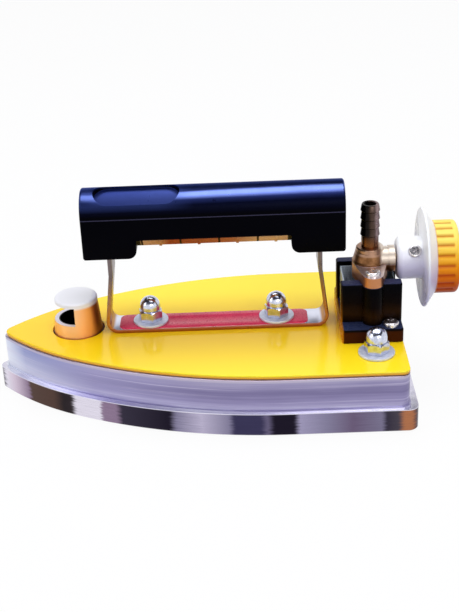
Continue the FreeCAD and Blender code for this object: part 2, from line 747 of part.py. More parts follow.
def make_cover():
    body = boat_plate("cover_plate", d.cover_inset, d.cover_setback, d.cover_tip_radius, cover_heel,
                      d.cover_heel_radius, cover_bottom, d.cover_thickness)
    dress(body, "Fillet", edges_of(body, lambda p: near(p.z, cover_top)), d.cover_edge_round)
    holes = new_sketch(body, offset=cover_top)
    for x, y, _ in studs:
        circle(holes, x, y, stud_hole)
    circle(holes, chimney_x, 0, chimney_hole)
    circle(holes, valve_x, d.valve_side, mixer_hole)
    for x, y in holder_screws:
        circle(holes, x, y, screw_hole)
    pocket(body, holes, d.cover_thickness)


# Chimney

def make_chimney():
    """A tapered tube that stands on the sole: a flue port inside the chamber, a window towards the tip."""
    rim = cover_top + d.chimney_rim_height
    cap_low = rim + d.chimney_window
    top = cap_low + d.chimney_cap
    flue_low = sole_top + d.chimney_floor
    outside = turned("Chimney_outside", [
        (0, sole_top), (d.chimney_radius, sole_top), (d.chimney_radius, cover_top),
        (d.chimney_top_radius, cap_low),
        (d.chimney_top_radius, top - d.chimney_cap_round, d.chimney_cap_round),
        (d.chimney_top_radius - d.chimney_cap_round, top), (0, top)], chimney_x)
    beyond = d.chimney_radius * 2
    half_port = d.flue_port_width / 2
    flue = cylinder(d.chimney_bore, cap_low - flue_low, chimney_x, 0, flue_low)
    window = box(chimney_x - beyond, chimney_x, -beyond, beyond, rim, cap_low)
    port = box(chimney_x, chimney_x + beyond, -half_port, half_port, flue_low, sheet_bottom)
    screw_way = cylinder(screw_thread, d.chimney_floor, chimney_x, 0, sole_top)
    cut(outside, [flue, window, port, screw_way], "chimney")


# Studs, washers and cap nuts

def make_studs():
    for label, places in (("centre_studs", studs[:2]), ("corner_studs", studs[2:])):
        top = places[0][2] + d.washer_thickness + d.stud_engagement
        stud = cylinder(d.stud_radius, top - d.stud_floor)
        group(label, stud, [(x, y, d.stud_floor) for x, y, _ in places])


def make_washers():
    ring = cut(cylinder(d.washer_radius, d.washer_thickness), [cylinder(stud_hole, d.washer_thickness)])
    group("washers", ring, studs)


def make_cap_nuts():
    """Hexagon with chamfered corners under a turned dome, bored blind for the stud."""
    corner = d.nut_flats / root(as_size(3))
    trimmed = doc.addObject("Part::Common", "Trimmed_hexagon")
    trimmed.Base = hexagon(corner, d.nut_hex_height)
    trimmed.Tool = cone(corner + d.nut_chamfer * 2, corner - d.nut_chamfer, d.nut_hex_height)
    spring_line = d.nut_height - d.nut_dome_radius
    dome = turned("Nut_dome", [
        (0, 0), (d.nut_dome_radius, 0), (d.nut_dome_radius, spring_line, d.nut_dome_radius),
        (0, d.nut_height)])
    nut = cut(fused([trimmed, dome]), [cylinder(d.stud_radius + d.fit, d.nut_bore_depth)])
    group("cap_nuts", nut, [(x, y, z + d.washer_thickness) for x, y, z in studs])


# Bracket, nameplate and handle

def make_bracket():
    """One bent strap: tabs under the handle, two uprights and a flat base under the nameplate."""
    half = d.strap_thickness / 2
    knee = cover_top + d.upright_knee
    tab_end = upright_half_span - d.tab_length
    outer = [(tab_end, well_roof), (upright_half_span + half, well_roof), (upright_half_span + half, knee),
             (foot_half_span, cover_top)]
    inner = [(foot_half_span - d.strap_thickness, strap_top), (upright_half_span - half, knee),
             (upright_half_span - half, well_roof - d.strap_thickness),
             (tab_end, well_roof - d.strap_thickness)]

    def mirrored(points, side):
        return [(strap_middle + side * u, v) for u, v in points]

    def corners_at(u, v):
        sides = (strap_middle + u, strap_middle - u)
        return edges_of(body, lambda p: near(p.z, v) and any(near(p.x, side) for side in sides))

    body = new_body("handle_bracket")
    profile = new_sketch(body, "XZ_Plane")
    trace(profile, mirrored(outer, -1) + mirrored(outer, 1)[::-1] + mirrored(inner, 1)[::-1]
          + mirrored(inner, -1))
    pad(body, profile, d.strap_width, both=True)
    dress(body, "Fillet", corners_at(foot_half_span, cover_top), d.strap_bend + d.strap_thickness)
    dress(body, "Fillet", corners_at(foot_half_span - d.strap_thickness, strap_top), d.strap_bend)
    dress(body, "Fillet", corners_at(upright_half_span + half, well_roof), d.strap_shoulder)
    holes = new_sketch(body, offset=strap_top)
    for x in centre_studs:
        circle(holes, x, 0, stud_hole)
    pocket(body, holes, d.strap_thickness)
    tab_holes = new_sketch(body, offset=well_roof)
    for side in (-1, 1):
        circle(tab_holes, strap_middle + side * tab_screw_span, 0, screw_hole)
    pocket(body, tab_holes, d.strap_thickness)


def make_nameplate():
    body = new_body("nameplate")
    sketch = new_sketch(body, offset=strap_top)
    slot(sketch, plate_front, plate_rear, d.strap_width / 2 - d.plate_edge)
    pad(body, sketch, d.plate_thickness)
    holes = new_sketch(body, offset=plate_top)
    for x in centre_studs:
        circle(holes, x, 0, stud_hole)
    pocket(body, holes, d.plate_thickness)


def make_handle():
    """Moulded grip: round top, two feet, finger ribs, a thumb recess and wells for the strap's tabs."""
    width = d.handle_half_width
    base = handle_axis - d.handle_drop
    under = handle_axis - d.grip_drop
    gap_ends = (handle_front + foot_length, handle_rear - foot_length)
    body = new_body("handle")
    section = new_sketch(body, "YZ_Plane", handle_front)
    trace(section, [(-width, base), (width, base), (width, handle_axis, width),
                    (0, handle_axis + width, width), (-width, handle_axis)])
    pad(body, section, handle_rear - handle_front)
    gap = new_sketch(body, "XZ_Plane")
    rectangle(gap, *gap_ends, base, under)
    pocket(body, gap, width * 2, both=True)
    inner_corners = edges_of(body, lambda p: near(p.z, base) and any(near(p.x, end) for end in gap_ends))
    dress(body, "Fillet", inner_corners, d.foot_corner)
    under_edges = edges_of(body, lambda p: near(p.z, under) and near(abs(p.y), width))
    dress(body, "Chamfer", under_edges, d.grip_bevel)
    ends = edges_of(body, lambda p: near(p.x, handle_front) or near(p.x, handle_rear))
    dress(body, "Fillet", ends, d.handle_end_round)
    add_finger_ribs(body, under)
    cut_thumb_recess(body)
    cut_tab_wells(body, base)


def add_finger_ribs(body, under):
    """Thin ribs that follow the grip's flat underside and its two bevels."""
    row_length = d.finger_pitch * (d.finger_ribs - 1)
    row_middle = strap_middle + d.finger_shift
    width = d.handle_half_width
    low = under - d.finger_rib_proud
    rise = d.grip_bevel + d.finger_rib_proud * (1 - math.tan(math.radians(22.5)))
    rib = new_sketch(body, "YZ_Plane", row_middle - row_length / 2 - d.finger_rib / 2)
    high = under + d.grip_bevel
    trace(rib, [(rise - width, low), (width - rise, low), (width, low + rise), (width, high), (-width, high),
                (-width, low + rise)])
    row = repeat(body, "LinearPattern", pad(body, rib, d.finger_rib), "X_Axis", d.finger_ribs)
    bind(row, "Length", row_length)


def cut_thumb_recess(body):
    """A flat-floored recess with round ends, cut down at an angle from the near side."""
    recess = new_sketch(body)
    recess.AttachmentOffset = Placement(Vector(), Rotation(X_AXIS, d.thumb_tilt.value))
    bind(recess, "AttachmentOffset.Rotation.Angle", d.thumb_tilt)
    bind(recess, "AttachmentOffset.Base.y", -sine(d.thumb_tilt) * d.thumb_floor)
    bind(recess, "AttachmentOffset.Base.z", handle_axis + cosine(d.thumb_tilt) * d.thumb_floor)
    start = handle_front + d.thumb_setback
    slot(recess, start, start + d.thumb_length, d.thumb_width / 2)
    pocket(body, recess, d.handle_half_width, down=False)


def cut_tab_wells(body, base):
    """A blind well in each foot for the strap, and the hole of a brass insert above the tab."""
    wells = new_sketch(body, offset=base)
    half = d.strap_width / 2 + d.slack
    near_end = upright_half_span - well_reach
    far_end = upright_half_span + d.strap_thickness / 2 + d.slack
    rectangle(wells, strap_middle - far_end, strap_middle - near_end, -half, half)
    rectangle(wells, strap_middle + near_end, strap_middle + far_end, -half, half)
    pocket(body, wells, well_roof - base, down=False)
    sockets = new_sketch(body, offset=well_roof)
    for side in (-1, 1):
        circle(sockets, strap_middle + side * tab_screw_span, 0, d.insert_radius + d.fit)
    pocket(body, sockets, d.insert_length, down=False)


def make_handle_fixings():
    stations = (strap_middle - tab_screw_span, strap_middle + tab_screw_span)
    insert = cut(cylinder(d.insert_radius, d.insert_length), [cylinder(screw_thread, d.insert_length)])
    group("handle_inserts", insert, [(x, 0, well_roof) for x in stations])
    fixing = screw("Handle_screw", d.screw_radius, d.strap_thickness + d.handle_screw_reach,
                   d.screw_head_radius, d.screw_head_height)
    group("handle_screws", fixing, [(x, 0, well_roof - d.strap_thickness) for x in stations], UPSIDE_DOWN)


# Valve holder, its liner and its screws

def make_holder():
    """Moulded base with ledges and a well, and two plates with half-round pillars, open at both ends."""
    def is_corner(p):
        at_end = near(p.x, holder_front) or near(p.x, holder_rear)
        return at_end and any(near(p.y, side) for side in (*ledge_sides, *holder_sides))

    def is_ledge_rim(p):
        reach = d.ledge_half_width.value - d.holder_corner.value
        return near(p.z, ledge_top) and abs(p.y - d.valve_side.value) > reach - SAME_PLACE

    body = new_body("valve_holder")
    for sides, height in ((ledge_sides, d.ledge_height), (holder_sides, d.holder_height)):
        block = new_sketch(body, offset=cover_top)
        rectangle(block, holder_front, holder_rear, *sides)
        pad(body, block, height)
    dress(body, "Fillet", edges_of(body, is_corner), d.holder_corner)
    dress(body, "Fillet", edges_of(body, lambda p: near(p.z, holder_top)), d.holder_edge)
    dress(body, "Fillet", edges_of(body, is_ledge_rim), d.holder_edge)
    pillars = new_sketch(body, offset=cover_top)
    for y in holder_sides:
        circle(pillars, valve_x, y, d.pillar_radius)
    pad(body, pillars, d.holder_height)
    inner_sides = (holder_sides[0] + d.holder_side_wall, holder_sides[1] - d.holder_side_wall)
    open_ends = new_sketch(body, offset=holder_top)
    rectangle(open_ends, holder_front, holder_rear, *inner_sides)
    pocket(body, open_ends, d.holder_height - d.ledge_height)
    well = new_sketch(body, offset=ledge_top)
    rectangle(well, holder_front + d.holder_end_wall, holder_rear - d.holder_end_wall, *inner_sides)
    pocket(body, well, d.ledge_height - d.holder_floor)
    mixer_way = new_sketch(body, offset=holder_floor_top)
    circle(mixer_way, valve_x, d.valve_side, d.mixer_radius + d.fit)
    pocket(body, mixer_way, d.holder_floor)
    ledge_holes = new_sketch(body, offset=ledge_top)
    for x, y in holder_screws:
        circle(ledge_holes, x, y, screw_thread)
    pocket(body, ledge_holes, d.ledge_height)
    ear_holes = new_sketch(body, offset=holder_top)
    for y in holder_sides:
        circle(ear_holes, valve_x, y, d.ear_screw_radius + d.fit)
    pocket(body, ear_holes, d.ear_screw_hole)


def make_gauze():
    """Woven liner that stands in the well between the plates, with a notch for the hub."""
    body = new_body("air_gauze")
    top = holder_top - d.gauze_drop

    def wall_line(clearance):
        sketch = new_sketch(body, offset=holder_floor_top)
        end_gap = d.holder_end_wall + clearance
        side_gap = d.holder_side_wall + clearance
        rectangle(sketch, holder_front + end_gap, holder_rear - end_gap, holder_sides[0] + side_gap,
                  holder_sides[1] - side_gap)
        return sketch

    pad(body, wall_line(d.fit), top - holder_floor_top)
    pocket(body, wall_line(d.fit + d.gauze_thickness), top - holder_floor_top, down=False)
    notch = new_sketch(body, "YZ_Plane", branch_end)
    circle(notch, d.valve_side, knob_axis, hub_notch)
    pocket(body, notch, d.holder_length, down=False)


def make_holder_fixings():
    ledge_screw = screw("Ledge_screw", d.screw_radius,
                        d.ledge_height + d.cover_thickness + d.insulation_thickness + d.screw_tail,
                        d.screw_head_radius, d.screw_head_height)
    group("holder_screws", ledge_screw, [(x, y, ledge_top) for x, y in holder_screws])
    nut = cut(hexagon(d.holder_nut_radius, d.insulation_thickness),
              [cylinder(screw_thread, d.insulation_thickness)])
    group("holder_nuts", nut, [(x, y, sheet_bottom) for x, y in holder_screws])
    ear_screw = screw("Ear_screw", d.ear_screw_radius, d.ear_thickness + d.ear_screw_reach,
                      d.ear_head_radius, d.ear_head_height)
    group("ear_screws", ear_screw, [(valve_x, y, ear_top) for y in holder_sides])


# Gas cock

def make_valve_body():
    """Cock with a round foot, a cone up to the nipple's collar, a side branch and a flange with two ears."""
    y, axis = d.valve_side, knob_axis
    collar_low = cock_top - d.collar_height
    casting = turned("Cock_casting", [
        (0, cock_bottom), (d.body_radius - d.body_bevel, cock_bottom),
        (d.body_radius, cock_bottom + d.body_bevel), (d.body_radius, axis),
        (d.body_radius - d.body_step, axis + d.body_step),
        (d.collar_radius + d.collar_step, collar_low - d.collar_step), (d.collar_radius, collar_low),
        (d.collar_radius, cock_top - d.collar_bevel), (d.collar_radius - d.collar_bevel, cock_top),
        (0, cock_top)], valve_x, y)
    branch = cylinder(d.branch_radius, branch_reach, valve_x, y, axis, ALONG_X)
    flange = new_body("Cock_flange")
    outline = new_sketch(flange, offset=holder_top)
    near_y, far_y = holder_sides
    tip = d.pillar_radius
    lean = (d.body_radius - tip) / d.holder_half_width
    slope = root(1 - lean * lean)
    tip_x, tip_y = tip * slope, tip * lean
    waist_x, waist_y = d.body_radius * slope, d.body_radius * lean
    trace(outline, [
        (valve_x + tip_x, near_y - tip_y), (valve_x + waist_x, y - waist_y), (valve_x + waist_x, y + waist_y),
        (valve_x + tip_x, far_y + tip_y, tip), (valve_x, far_y + tip, tip), (valve_x - tip_x, far_y + tip_y),
        (valve_x - waist_x, y + waist_y), (valve_x - waist_x, y - waist_y),
        (valve_x - tip_x, near_y - tip_y, tip), (valve_x, near_y - tip, tip)])
    pad(flange, outline, d.ear_thickness)
    seat = cone(d.plug_radius - d.plug_taper + d.fit, d.plug_radius + d.fit, d.plug_rear + d.plug_front,
                valve_x - d.plug_rear, y, axis, ALONG_X)
    spring_room = cylinder(d.plug_radius + d.slack, branch_reach - d.plug_front, valve_x + d.plug_front, y,
                           axis, ALONG_X)
    gas_way = cylinder(d.gas_bore, cock_top - cock_bottom, valve_x, y, cock_bottom)
    nipple_seat = cylinder(d.nipple_stub_radius + d.fit, d.nipple_stub, valve_x, y, cock_top - d.nipple_stub)
    jet_seat = cylinder(d.jet_spigot + d.fit, d.jet_spigot_length, valve_x, y, cock_bottom)
    ear_holes = [cylinder(d.ear_screw_radius + d.fit, d.ear_thickness, valve_x, side, holder_top)
                 for side in holder_sides]
    cut(fused([casting, branch, flange]), [seat, spring_room, gas_way, nipple_seat, jet_seat, *ear_holes],
        "valve_body")


def make_injector():
    """Jet with a collar, a spigot in the cock and a fine bore that points down into the mixer."""
    outside = turned("Injector_outside", [
        (0, -d.jet_length), (d.jet_tip, -d.jet_length), (d.jet_nozzle, -d.jet_collar),
        (d.jet_collar_radius, -d.jet_collar), (d.jet_collar_radius, 0), (d.jet_spigot, 0),
        (d.jet_spigot, d.jet_spigot_length), (0, d.jet_spigot_length)], valve_x, d.valve_side, cock_bottom)
    jet_top = cock_bottom - d.jet_length + d.jet_bore_length
    feed_top = cock_bottom + d.jet_spigot_length
    jet = cylinder(d.jet_bore, d.jet_bore_length, valve_x, d.valve_side, cock_bottom - d.jet_length)
    feed = cylinder(d.gas_bore, feed_top - jet_top, valve_x, d.valve_side, jet_top)
    cut(outside, [jet, feed], "injector")


def make_nipple():
    """Hose nipple with saw-tooth barbs above a plain neck."""
    top = d.nipple_length
    profile = [(0, -d.nipple_stub), (d.nipple_stub_radius, -d.nipple_stub), (d.nipple_stub_radius, 0),
               (d.nipple_root, 0)]
    count = int(d.barbs.value)
    for index in range(count):
        crest = top - d.barb_setback - d.barb_pitch * (count - 1 - index)
        profile += [(d.nipple_root, crest - d.barb_step), (d.nipple_crest, crest),
                    (d.nipple_crest, crest + d.barb_lip)]
    profile += [(d.nipple_root, top - d.nipple_mouth), (d.nipple_root - d.nipple_mouth, top), (0, top)]
    outside = turned("Nipple_outside", profile, valve_x, d.valve_side, cock_top)
    bore = cylinder(d.nipple_bore, top + d.nipple_stub, valve_x, d.valve_side, cock_top - d.nipple_stub)
    cut(outside, [bore], "hose_nipple")


def make_plug():
    """Taper plug, spindle and stop pin, with the gas way across: shut at rest."""
    seal_low = branch_reach + d.seal_setback
    seal_high = seal_low + d.seal_width
    groove = d.spindle_radius - d.seal_depth
    shaft = turned("Plug_turned", [
        (0, -d.plug_rear), (d.plug_radius - d.plug_taper, -d.plug_rear), (d.plug_radius, d.plug_front),
        (d.spindle_radius, d.plug_front), (d.spindle_radius, seal_low), (groove, seal_low),
        (groove, seal_high), (d.spindle_radius, seal_high), (d.spindle_radius, disc_start),
        (0, disc_start)], valve_x, d.valve_side, knob_axis, ALONG_X)
    pin_x = branch_end + d.gland_length - d.stop_depth / 2
    pin_length = d.gland_radius - d.gland_rim - d.stop_pin_gap
    pin = cylinder(d.stop_pin_radius, pin_length, pin_x, d.valve_side, knob_axis)
    beyond = d.plug_radius * 2
    way = cylinder(d.gas_bore, beyond * 2, valve_x, d.valve_side - beyond, knob_axis, ALONG_Y)
    cut(fused([shaft, pin]), [way], "valve_plug")


def make_seal():
    """Flat ring in the spindle's groove, a little narrower and wider inside than the groove is."""
    at = (branch_end + d.seal_setback, d.valve_side, knob_axis, ALONG_X)
    width = d.seal_width - d.fit
    ring = cylinder(d.spindle_radius, width, *at)
    hole = cylinder(d.spindle_radius - d.seal_depth + d.fit * 3, width, *at)
    cut(ring, [hole], "spindle_seal")


def make_gland():
    """Gland nut with the quadrant in its outer face that stops the pin at either end of the turn."""
    y, axis = d.valve_side, knob_axis
    inside = branch_end - d.gland_spigot
    length = d.gland_spigot + d.gland_length
    flange = cylinder(d.gland_radius, d.gland_length, branch_end, y, axis, ALONG_X)
    spigot = cylinder(d.plug_radius + d.slack - d.fit, length, inside, y, axis, ALONG_X)
    bore = cylinder(d.spindle_radius + d.fit, length, inside, y, axis, ALONG_X)
    start = Rotation(X_AXIS, -d.stop_margin.value) * ALONG_X * Rotation(Z_AXIS, 180)
    floor = branch_end + d.gland_length - d.stop_depth
    quadrant = cylinder(d.gland_radius - d.gland_rim, d.stop_depth, floor, y, axis, start,
                        d.quarter_turn + d.stop_margin * 2)
    cut(fused([flange, spigot]), [bore, quadrant], "gland_nut")


def make_spring():
    """Conical disc spring between the plug and the gland nut."""
    room = branch_reach - d.gland_spigot - d.plug_front - d.slack
    outer = d.plug_radius - d.slack
    inner = d.spindle_radius + d.slack
    turned("plug_spring", [
        (outer - d.spring_edge, 0), (outer, 0), (inner + d.spring_edge, room), (inner, room)],
        valve_x + d.plug_front, d.valve_side, knob_axis, ALONG_X)


# Knob

def make_knob_base():
    """White hub, disc and cone, bored for the spindle, with a seat for the screw that clamps it."""
    y, axis = d.valve_side, knob_axis
    lean = Rotation(X_AXIS, d.knob_screw_turn.value)
    seat = d.hub_radius - d.knob_screw_sink
    inner = d.grip_radius - d.grip_wall - d.fit
    blank = turned("Knob_base_turned", [
        (0, hub_start), (d.hub_radius - d.hub_round, hub_start, d.hub_round),
        (d.hub_radius, hub_start + d.hub_round), (d.hub_radius, disc_start),
        (d.disc_radius - d.disc_bevel, disc_start), (d.disc_radius, disc_start + d.disc_bevel),
        (d.disc_radius, disc_start + d.disc_rim), (d.grip_radius, grip_start), (inner, grip_start),
        (inner, grip_start + d.grip_spigot), (0, grip_start + d.grip_spigot)], valve_x, y, axis, ALONG_X)
    bore = cylinder(d.spindle_radius + d.fit, d.hub_length, valve_x + hub_start, y, axis, ALONG_X)
    screw_way = cylinder(d.knob_screw_radius + d.fit, d.hub_radius, knob_screw_x, y, axis, lean)
    head_way = cylinder(d.knob_head_radius + d.slack, d.hub_radius, knob_screw_x,
                        y - seat * sine(d.knob_screw_turn), axis + seat * cosine(d.knob_screw_turn), lean)
    cut(blank, [bore, screw_way, head_way], "knob_base")
    screw("knob_screw", d.knob_screw_radius, seat - d.spindle_radius - d.fit, d.knob_head_radius,
          d.knob_head_height, seat, (knob_screw_x, y, axis), lean)


def make_knob_grip():
    """Moulded cup with flutes round it."""
    body = new_body("knob_grip")
    end = grip_start + d.grip_length
    inner = d.grip_radius - d.grip_wall
    profile = new_sketch(body, "XZ_Plane")
    trace(profile, [(inner, grip_start), (d.grip_radius, grip_start),
                    (d.grip_radius, end - d.grip_round, d.grip_round), (d.grip_radius - d.grip_round, end),
                    (0, end), (0, end - d.grip_wall), (inner, end - d.grip_wall)])
    revolve(body, profile)
    flute = new_sketch(body, offset=grip_start)
    circle(flute, d.grip_radius + d.flute_proud, 0, d.flute_radius)
    first = pocket(body, flute, d.grip_length, down=False)
    ring = repeat(body, "PolarPattern", first, "Z_Axis", d.grip_flutes)
    ring.Angle = 360
    place(body, valve_x, d.valve_side, knob_axis, ALONG_X)


# Burner

def make_burner():
    """Two blind tubes on a cross header, ports along their outer sides and two feet screwed to the sole."""
    y_middle = d.valve_side
    leg_end = chimney_x + d.chimney_radius + d.burner_to_chimney
    header_half = d.leg_spread + d.leg_radius + d.header_end
    hollow_half = header_half - d.tube_wall
    half_foot = d.screw_head_radius + d.burner_foot_margin
    foot_top = sole_top + d.burner_foot_thickness
    header = cylinder(d.header_radius, header_half * 2, valve_x, y_middle - header_half, burner_axis,
                      ALONG_Y)
    hollow = cylinder(d.header_radius - d.tube_wall, hollow_half * 2, valve_x, y_middle - hollow_half,
                      burner_axis, ALONG_Y)
    solids = [header]
    tools = [hollow]
    for side in (-1, 1):
        y = y_middle + side * d.leg_spread
        foot_y = y_middle + side * burner_foot_side
        foot_ends = (y - side * d.burner_foot_grip, foot_y + side * half_foot)
        low_y, high_y = foot_ends if side > 0 else foot_ends[::-1]
        solids += [
            cylinder(d.leg_radius, valve_x - leg_end, leg_end, y, burner_axis, ALONG_X),
            box(burner_foot_x - half_foot, burner_foot_x + half_foot, low_y, high_y, sole_top, foot_top),
            box(burner_foot_x - half_foot, burner_foot_x + half_foot, y - d.burner_foot_grip,
                y + d.burner_foot_grip, sole_top, burner_axis - d.leg_radius + d.tube_wall)]
        tools += [
            cylinder(d.leg_radius - d.tube_wall, valve_x - leg_end - d.tube_wall, leg_end + d.tube_wall, y,
                     burner_axis, ALONG_X),
            cylinder(screw_thread, d.burner_foot_thickness, burner_foot_x, foot_y, sole_top)]
        outward = Rotation(X_AXIS, -side * 90)
        for index in range(int(d.ports_per_leg.value)):
            tools.append(cylinder(d.port_radius, d.leg_radius * 2, leg_end + d.port_pitch * (index + 1),
                                  y + side * d.port_start, burner_axis, outward))
    tools.append(cylinder(d.mixer_radius + d.fit, d.header_radius * 2, valve_x, y_middle, burner_axis))
    cut(fused(solids), tools, "burner")


def make_mixer():
    """Venturi tube from the holder's well down into the header."""
    low = burner_axis + d.mixer_end
    length = holder_floor_top + d.mixer_rise - low
    throat_high = length - d.mixer_cone
    turned("mixer_tube", [
        (d.mixer_radius - d.mixer_wall, 0), (d.mixer_radius, 0), (d.mixer_radius, length),
        (d.mixer_radius - d.mixer_lip, length), (d.mixer_throat, throat_high),
        (d.mixer_throat, throat_high - d.mixer_neck)], valve_x, d.valve_side, low)


def make_inside_screws():
    for label, thickness, places in (("burner_screws", d.burner_foot_thickness, burner_feet),
                                     ("chimney_screw", d.chimney_floor, ((chimney_x, 0),))):
        fixing = screw(f"{label}_master", d.screw_radius, thickness + d.sole_screw_reach,
                       d.screw_head_radius, d.screw_head_height)
        group(label, fixing, [(x, y, sole_top + thickness) for x, y in places])


make_sole()
make_chamber()
make_insulation()
make_cover()
make_chimney()
make_studs()
make_washers()
make_cap_nuts()
make_bracket()
make_nameplate()
make_handle()
make_handle_fixings()
make_holder()
make_gauze()
make_holder_fixings()
make_valve_body()
make_injector()
make_nipple()
make_plug()
make_seal()
make_gland()
make_spring()
make_knob_base()
make_knob_grip()
make_burner()
make_mixer()
make_inside_screws()

NODES = (
    "sole_plate", "burner_chamber", "insulation_sheet", "cover_plate", "chimney", "centre_studs",
    "corner_studs", "washers", "cap_nuts", "handle_bracket", "nameplate", "handle", "handle_inserts",
    "handle_screws", "valve_holder", "air_gauze", "holder_screws", "holder_nuts", "ear_screws",
    "valve_body", "injector", "hose_nipple", "valve_plug", "spindle_seal", "gland_nut", "plug_spring",
    "knob_base", "knob_screw", "knob_grip", "burner", "mixer_tube", "burner_screws", "chimney_screw")


def check_and_export():
    doc.recompute()
    for item in doc.Objects:
        faults = [state for state in item.State if state in ("Invalid", "Error")]
        assert not faults, f"{item.Label}: {faults}"
    os.makedirs("parts", exist_ok=True)
    for label in NODES:
        shape = doc.getObjectsByLabel(label)[0].Shape
        assert not shape.isNull() and shape.isValid() and shape.Solids, f"{label}: bad shape"
        shape.exportStep(f"parts/{label}.step")
        print(f"{label:18s} solids {len(shape.Solids)} volume {shape.Volume:10.1f}")


check_and_export()
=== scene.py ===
# %% [markdown]
# # A pressing iron that burns gas
#
# The iron is a heavy plated sole with a cast chamber on it, a yellow enamelled cover, a chimney at the
# tip, a moulded handle on a bent strap, and a brass gas cock with a white and orange knob at the heel.
# The exact solids come packed as a frame. This lesson gives them their finishes, and models again, with
# the tools that a hand would use in Blender, the pieces that need softer edges and finer detail than a
# solid has. Everything is in metres: the origin lies in the ironing face, the tip points to -X and +Z
# goes up.

import json
import math

import bmesh
import bpy
from mathutils import Matrix, Vector

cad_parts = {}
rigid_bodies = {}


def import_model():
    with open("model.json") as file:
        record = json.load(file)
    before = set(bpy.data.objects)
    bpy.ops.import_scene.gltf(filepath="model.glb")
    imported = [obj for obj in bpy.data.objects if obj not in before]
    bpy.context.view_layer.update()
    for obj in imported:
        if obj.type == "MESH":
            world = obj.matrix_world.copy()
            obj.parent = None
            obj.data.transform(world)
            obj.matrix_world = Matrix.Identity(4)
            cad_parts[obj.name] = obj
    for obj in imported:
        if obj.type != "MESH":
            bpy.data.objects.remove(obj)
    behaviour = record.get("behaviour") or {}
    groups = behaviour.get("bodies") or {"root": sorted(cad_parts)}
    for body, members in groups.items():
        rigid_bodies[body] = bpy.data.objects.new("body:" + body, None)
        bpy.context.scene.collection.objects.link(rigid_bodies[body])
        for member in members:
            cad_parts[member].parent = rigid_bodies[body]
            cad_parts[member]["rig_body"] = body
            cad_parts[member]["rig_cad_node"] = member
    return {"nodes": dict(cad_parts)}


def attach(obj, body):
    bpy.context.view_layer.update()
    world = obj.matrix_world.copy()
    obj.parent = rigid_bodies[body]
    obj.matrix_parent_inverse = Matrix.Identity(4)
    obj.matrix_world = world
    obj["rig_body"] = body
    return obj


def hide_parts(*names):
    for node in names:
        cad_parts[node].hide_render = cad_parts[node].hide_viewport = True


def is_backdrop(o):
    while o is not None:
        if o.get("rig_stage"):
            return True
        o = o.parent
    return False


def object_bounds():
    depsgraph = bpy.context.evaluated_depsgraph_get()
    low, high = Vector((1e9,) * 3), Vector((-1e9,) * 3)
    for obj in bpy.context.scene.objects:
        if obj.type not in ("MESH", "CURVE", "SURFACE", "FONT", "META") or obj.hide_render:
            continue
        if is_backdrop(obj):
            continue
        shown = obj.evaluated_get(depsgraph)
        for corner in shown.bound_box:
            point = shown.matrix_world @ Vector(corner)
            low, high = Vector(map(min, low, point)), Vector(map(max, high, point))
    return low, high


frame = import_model()
nodes = frame["nodes"]
cad_low, cad_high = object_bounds()
MM = 0.001
print(f"{len(nodes)} solids, {(cad_high - cad_low).x:.3f} m from tip to knob")

# %% [markdown]
# ## The camera
#
# The picture is taken from a little above, with the tip to the left and the heel to the right. A camera
# can be aimed with a constraint or by its angles. Here the angles are known, so they are set: it looks
# down by almost 27 degrees and leans by about 2.4, which is why level edges climb slightly to the right.

# %% Camera
CAMERA_PLACE = Vector((0.0271, -0.6735, 0.3875))
CAMERA_YAW = math.radians(-0.791)
CAMERA_PITCH = math.radians(26.678)
CAMERA_ROLL = math.radians(-2.428)
FOCAL_LENGTH = 73.53

bpy.ops.object.camera_add()
camera = bpy.context.object
camera.data.lens = FOCAL_LENGTH
forward = Vector((math.sin(CAMERA_YAW) * math.cos(CAMERA_PITCH),
                  math.cos(CAMERA_YAW) * math.cos(CAMERA_PITCH), -math.sin(CAMERA_PITCH)))
level = Vector((math.cos(CAMERA_YAW), -math.sin(CAMERA_YAW), 0))
upright = level.cross(forward)
side = level * math.cos(CAMERA_ROLL) + upright * math.sin(CAMERA_ROLL)
top = upright * math.cos(CAMERA_ROLL) - level * math.sin(CAMERA_ROLL)
camera.matrix_world = Matrix.Translation(CAMERA_PLACE) @ Matrix((side, top, -forward)).transposed().to_4x4()
bpy.context.scene.camera = camera
bpy.context.scene.view_settings.view_transform = "Standard"
print(f"camera {CAMERA_PLACE.length:.3f} m from the middle of the sole")

# %% [markdown]
# ## Shader sums
#
# A finish is mostly arithmetic on patterns, and a Math node for every plus sign makes a script hard to
# read. Wire wraps one output socket so that ordinary Python sums on it add the Math nodes. Finish holds
# one material, and its add method makes any other node: first its settings, then what goes into its
# sockets.

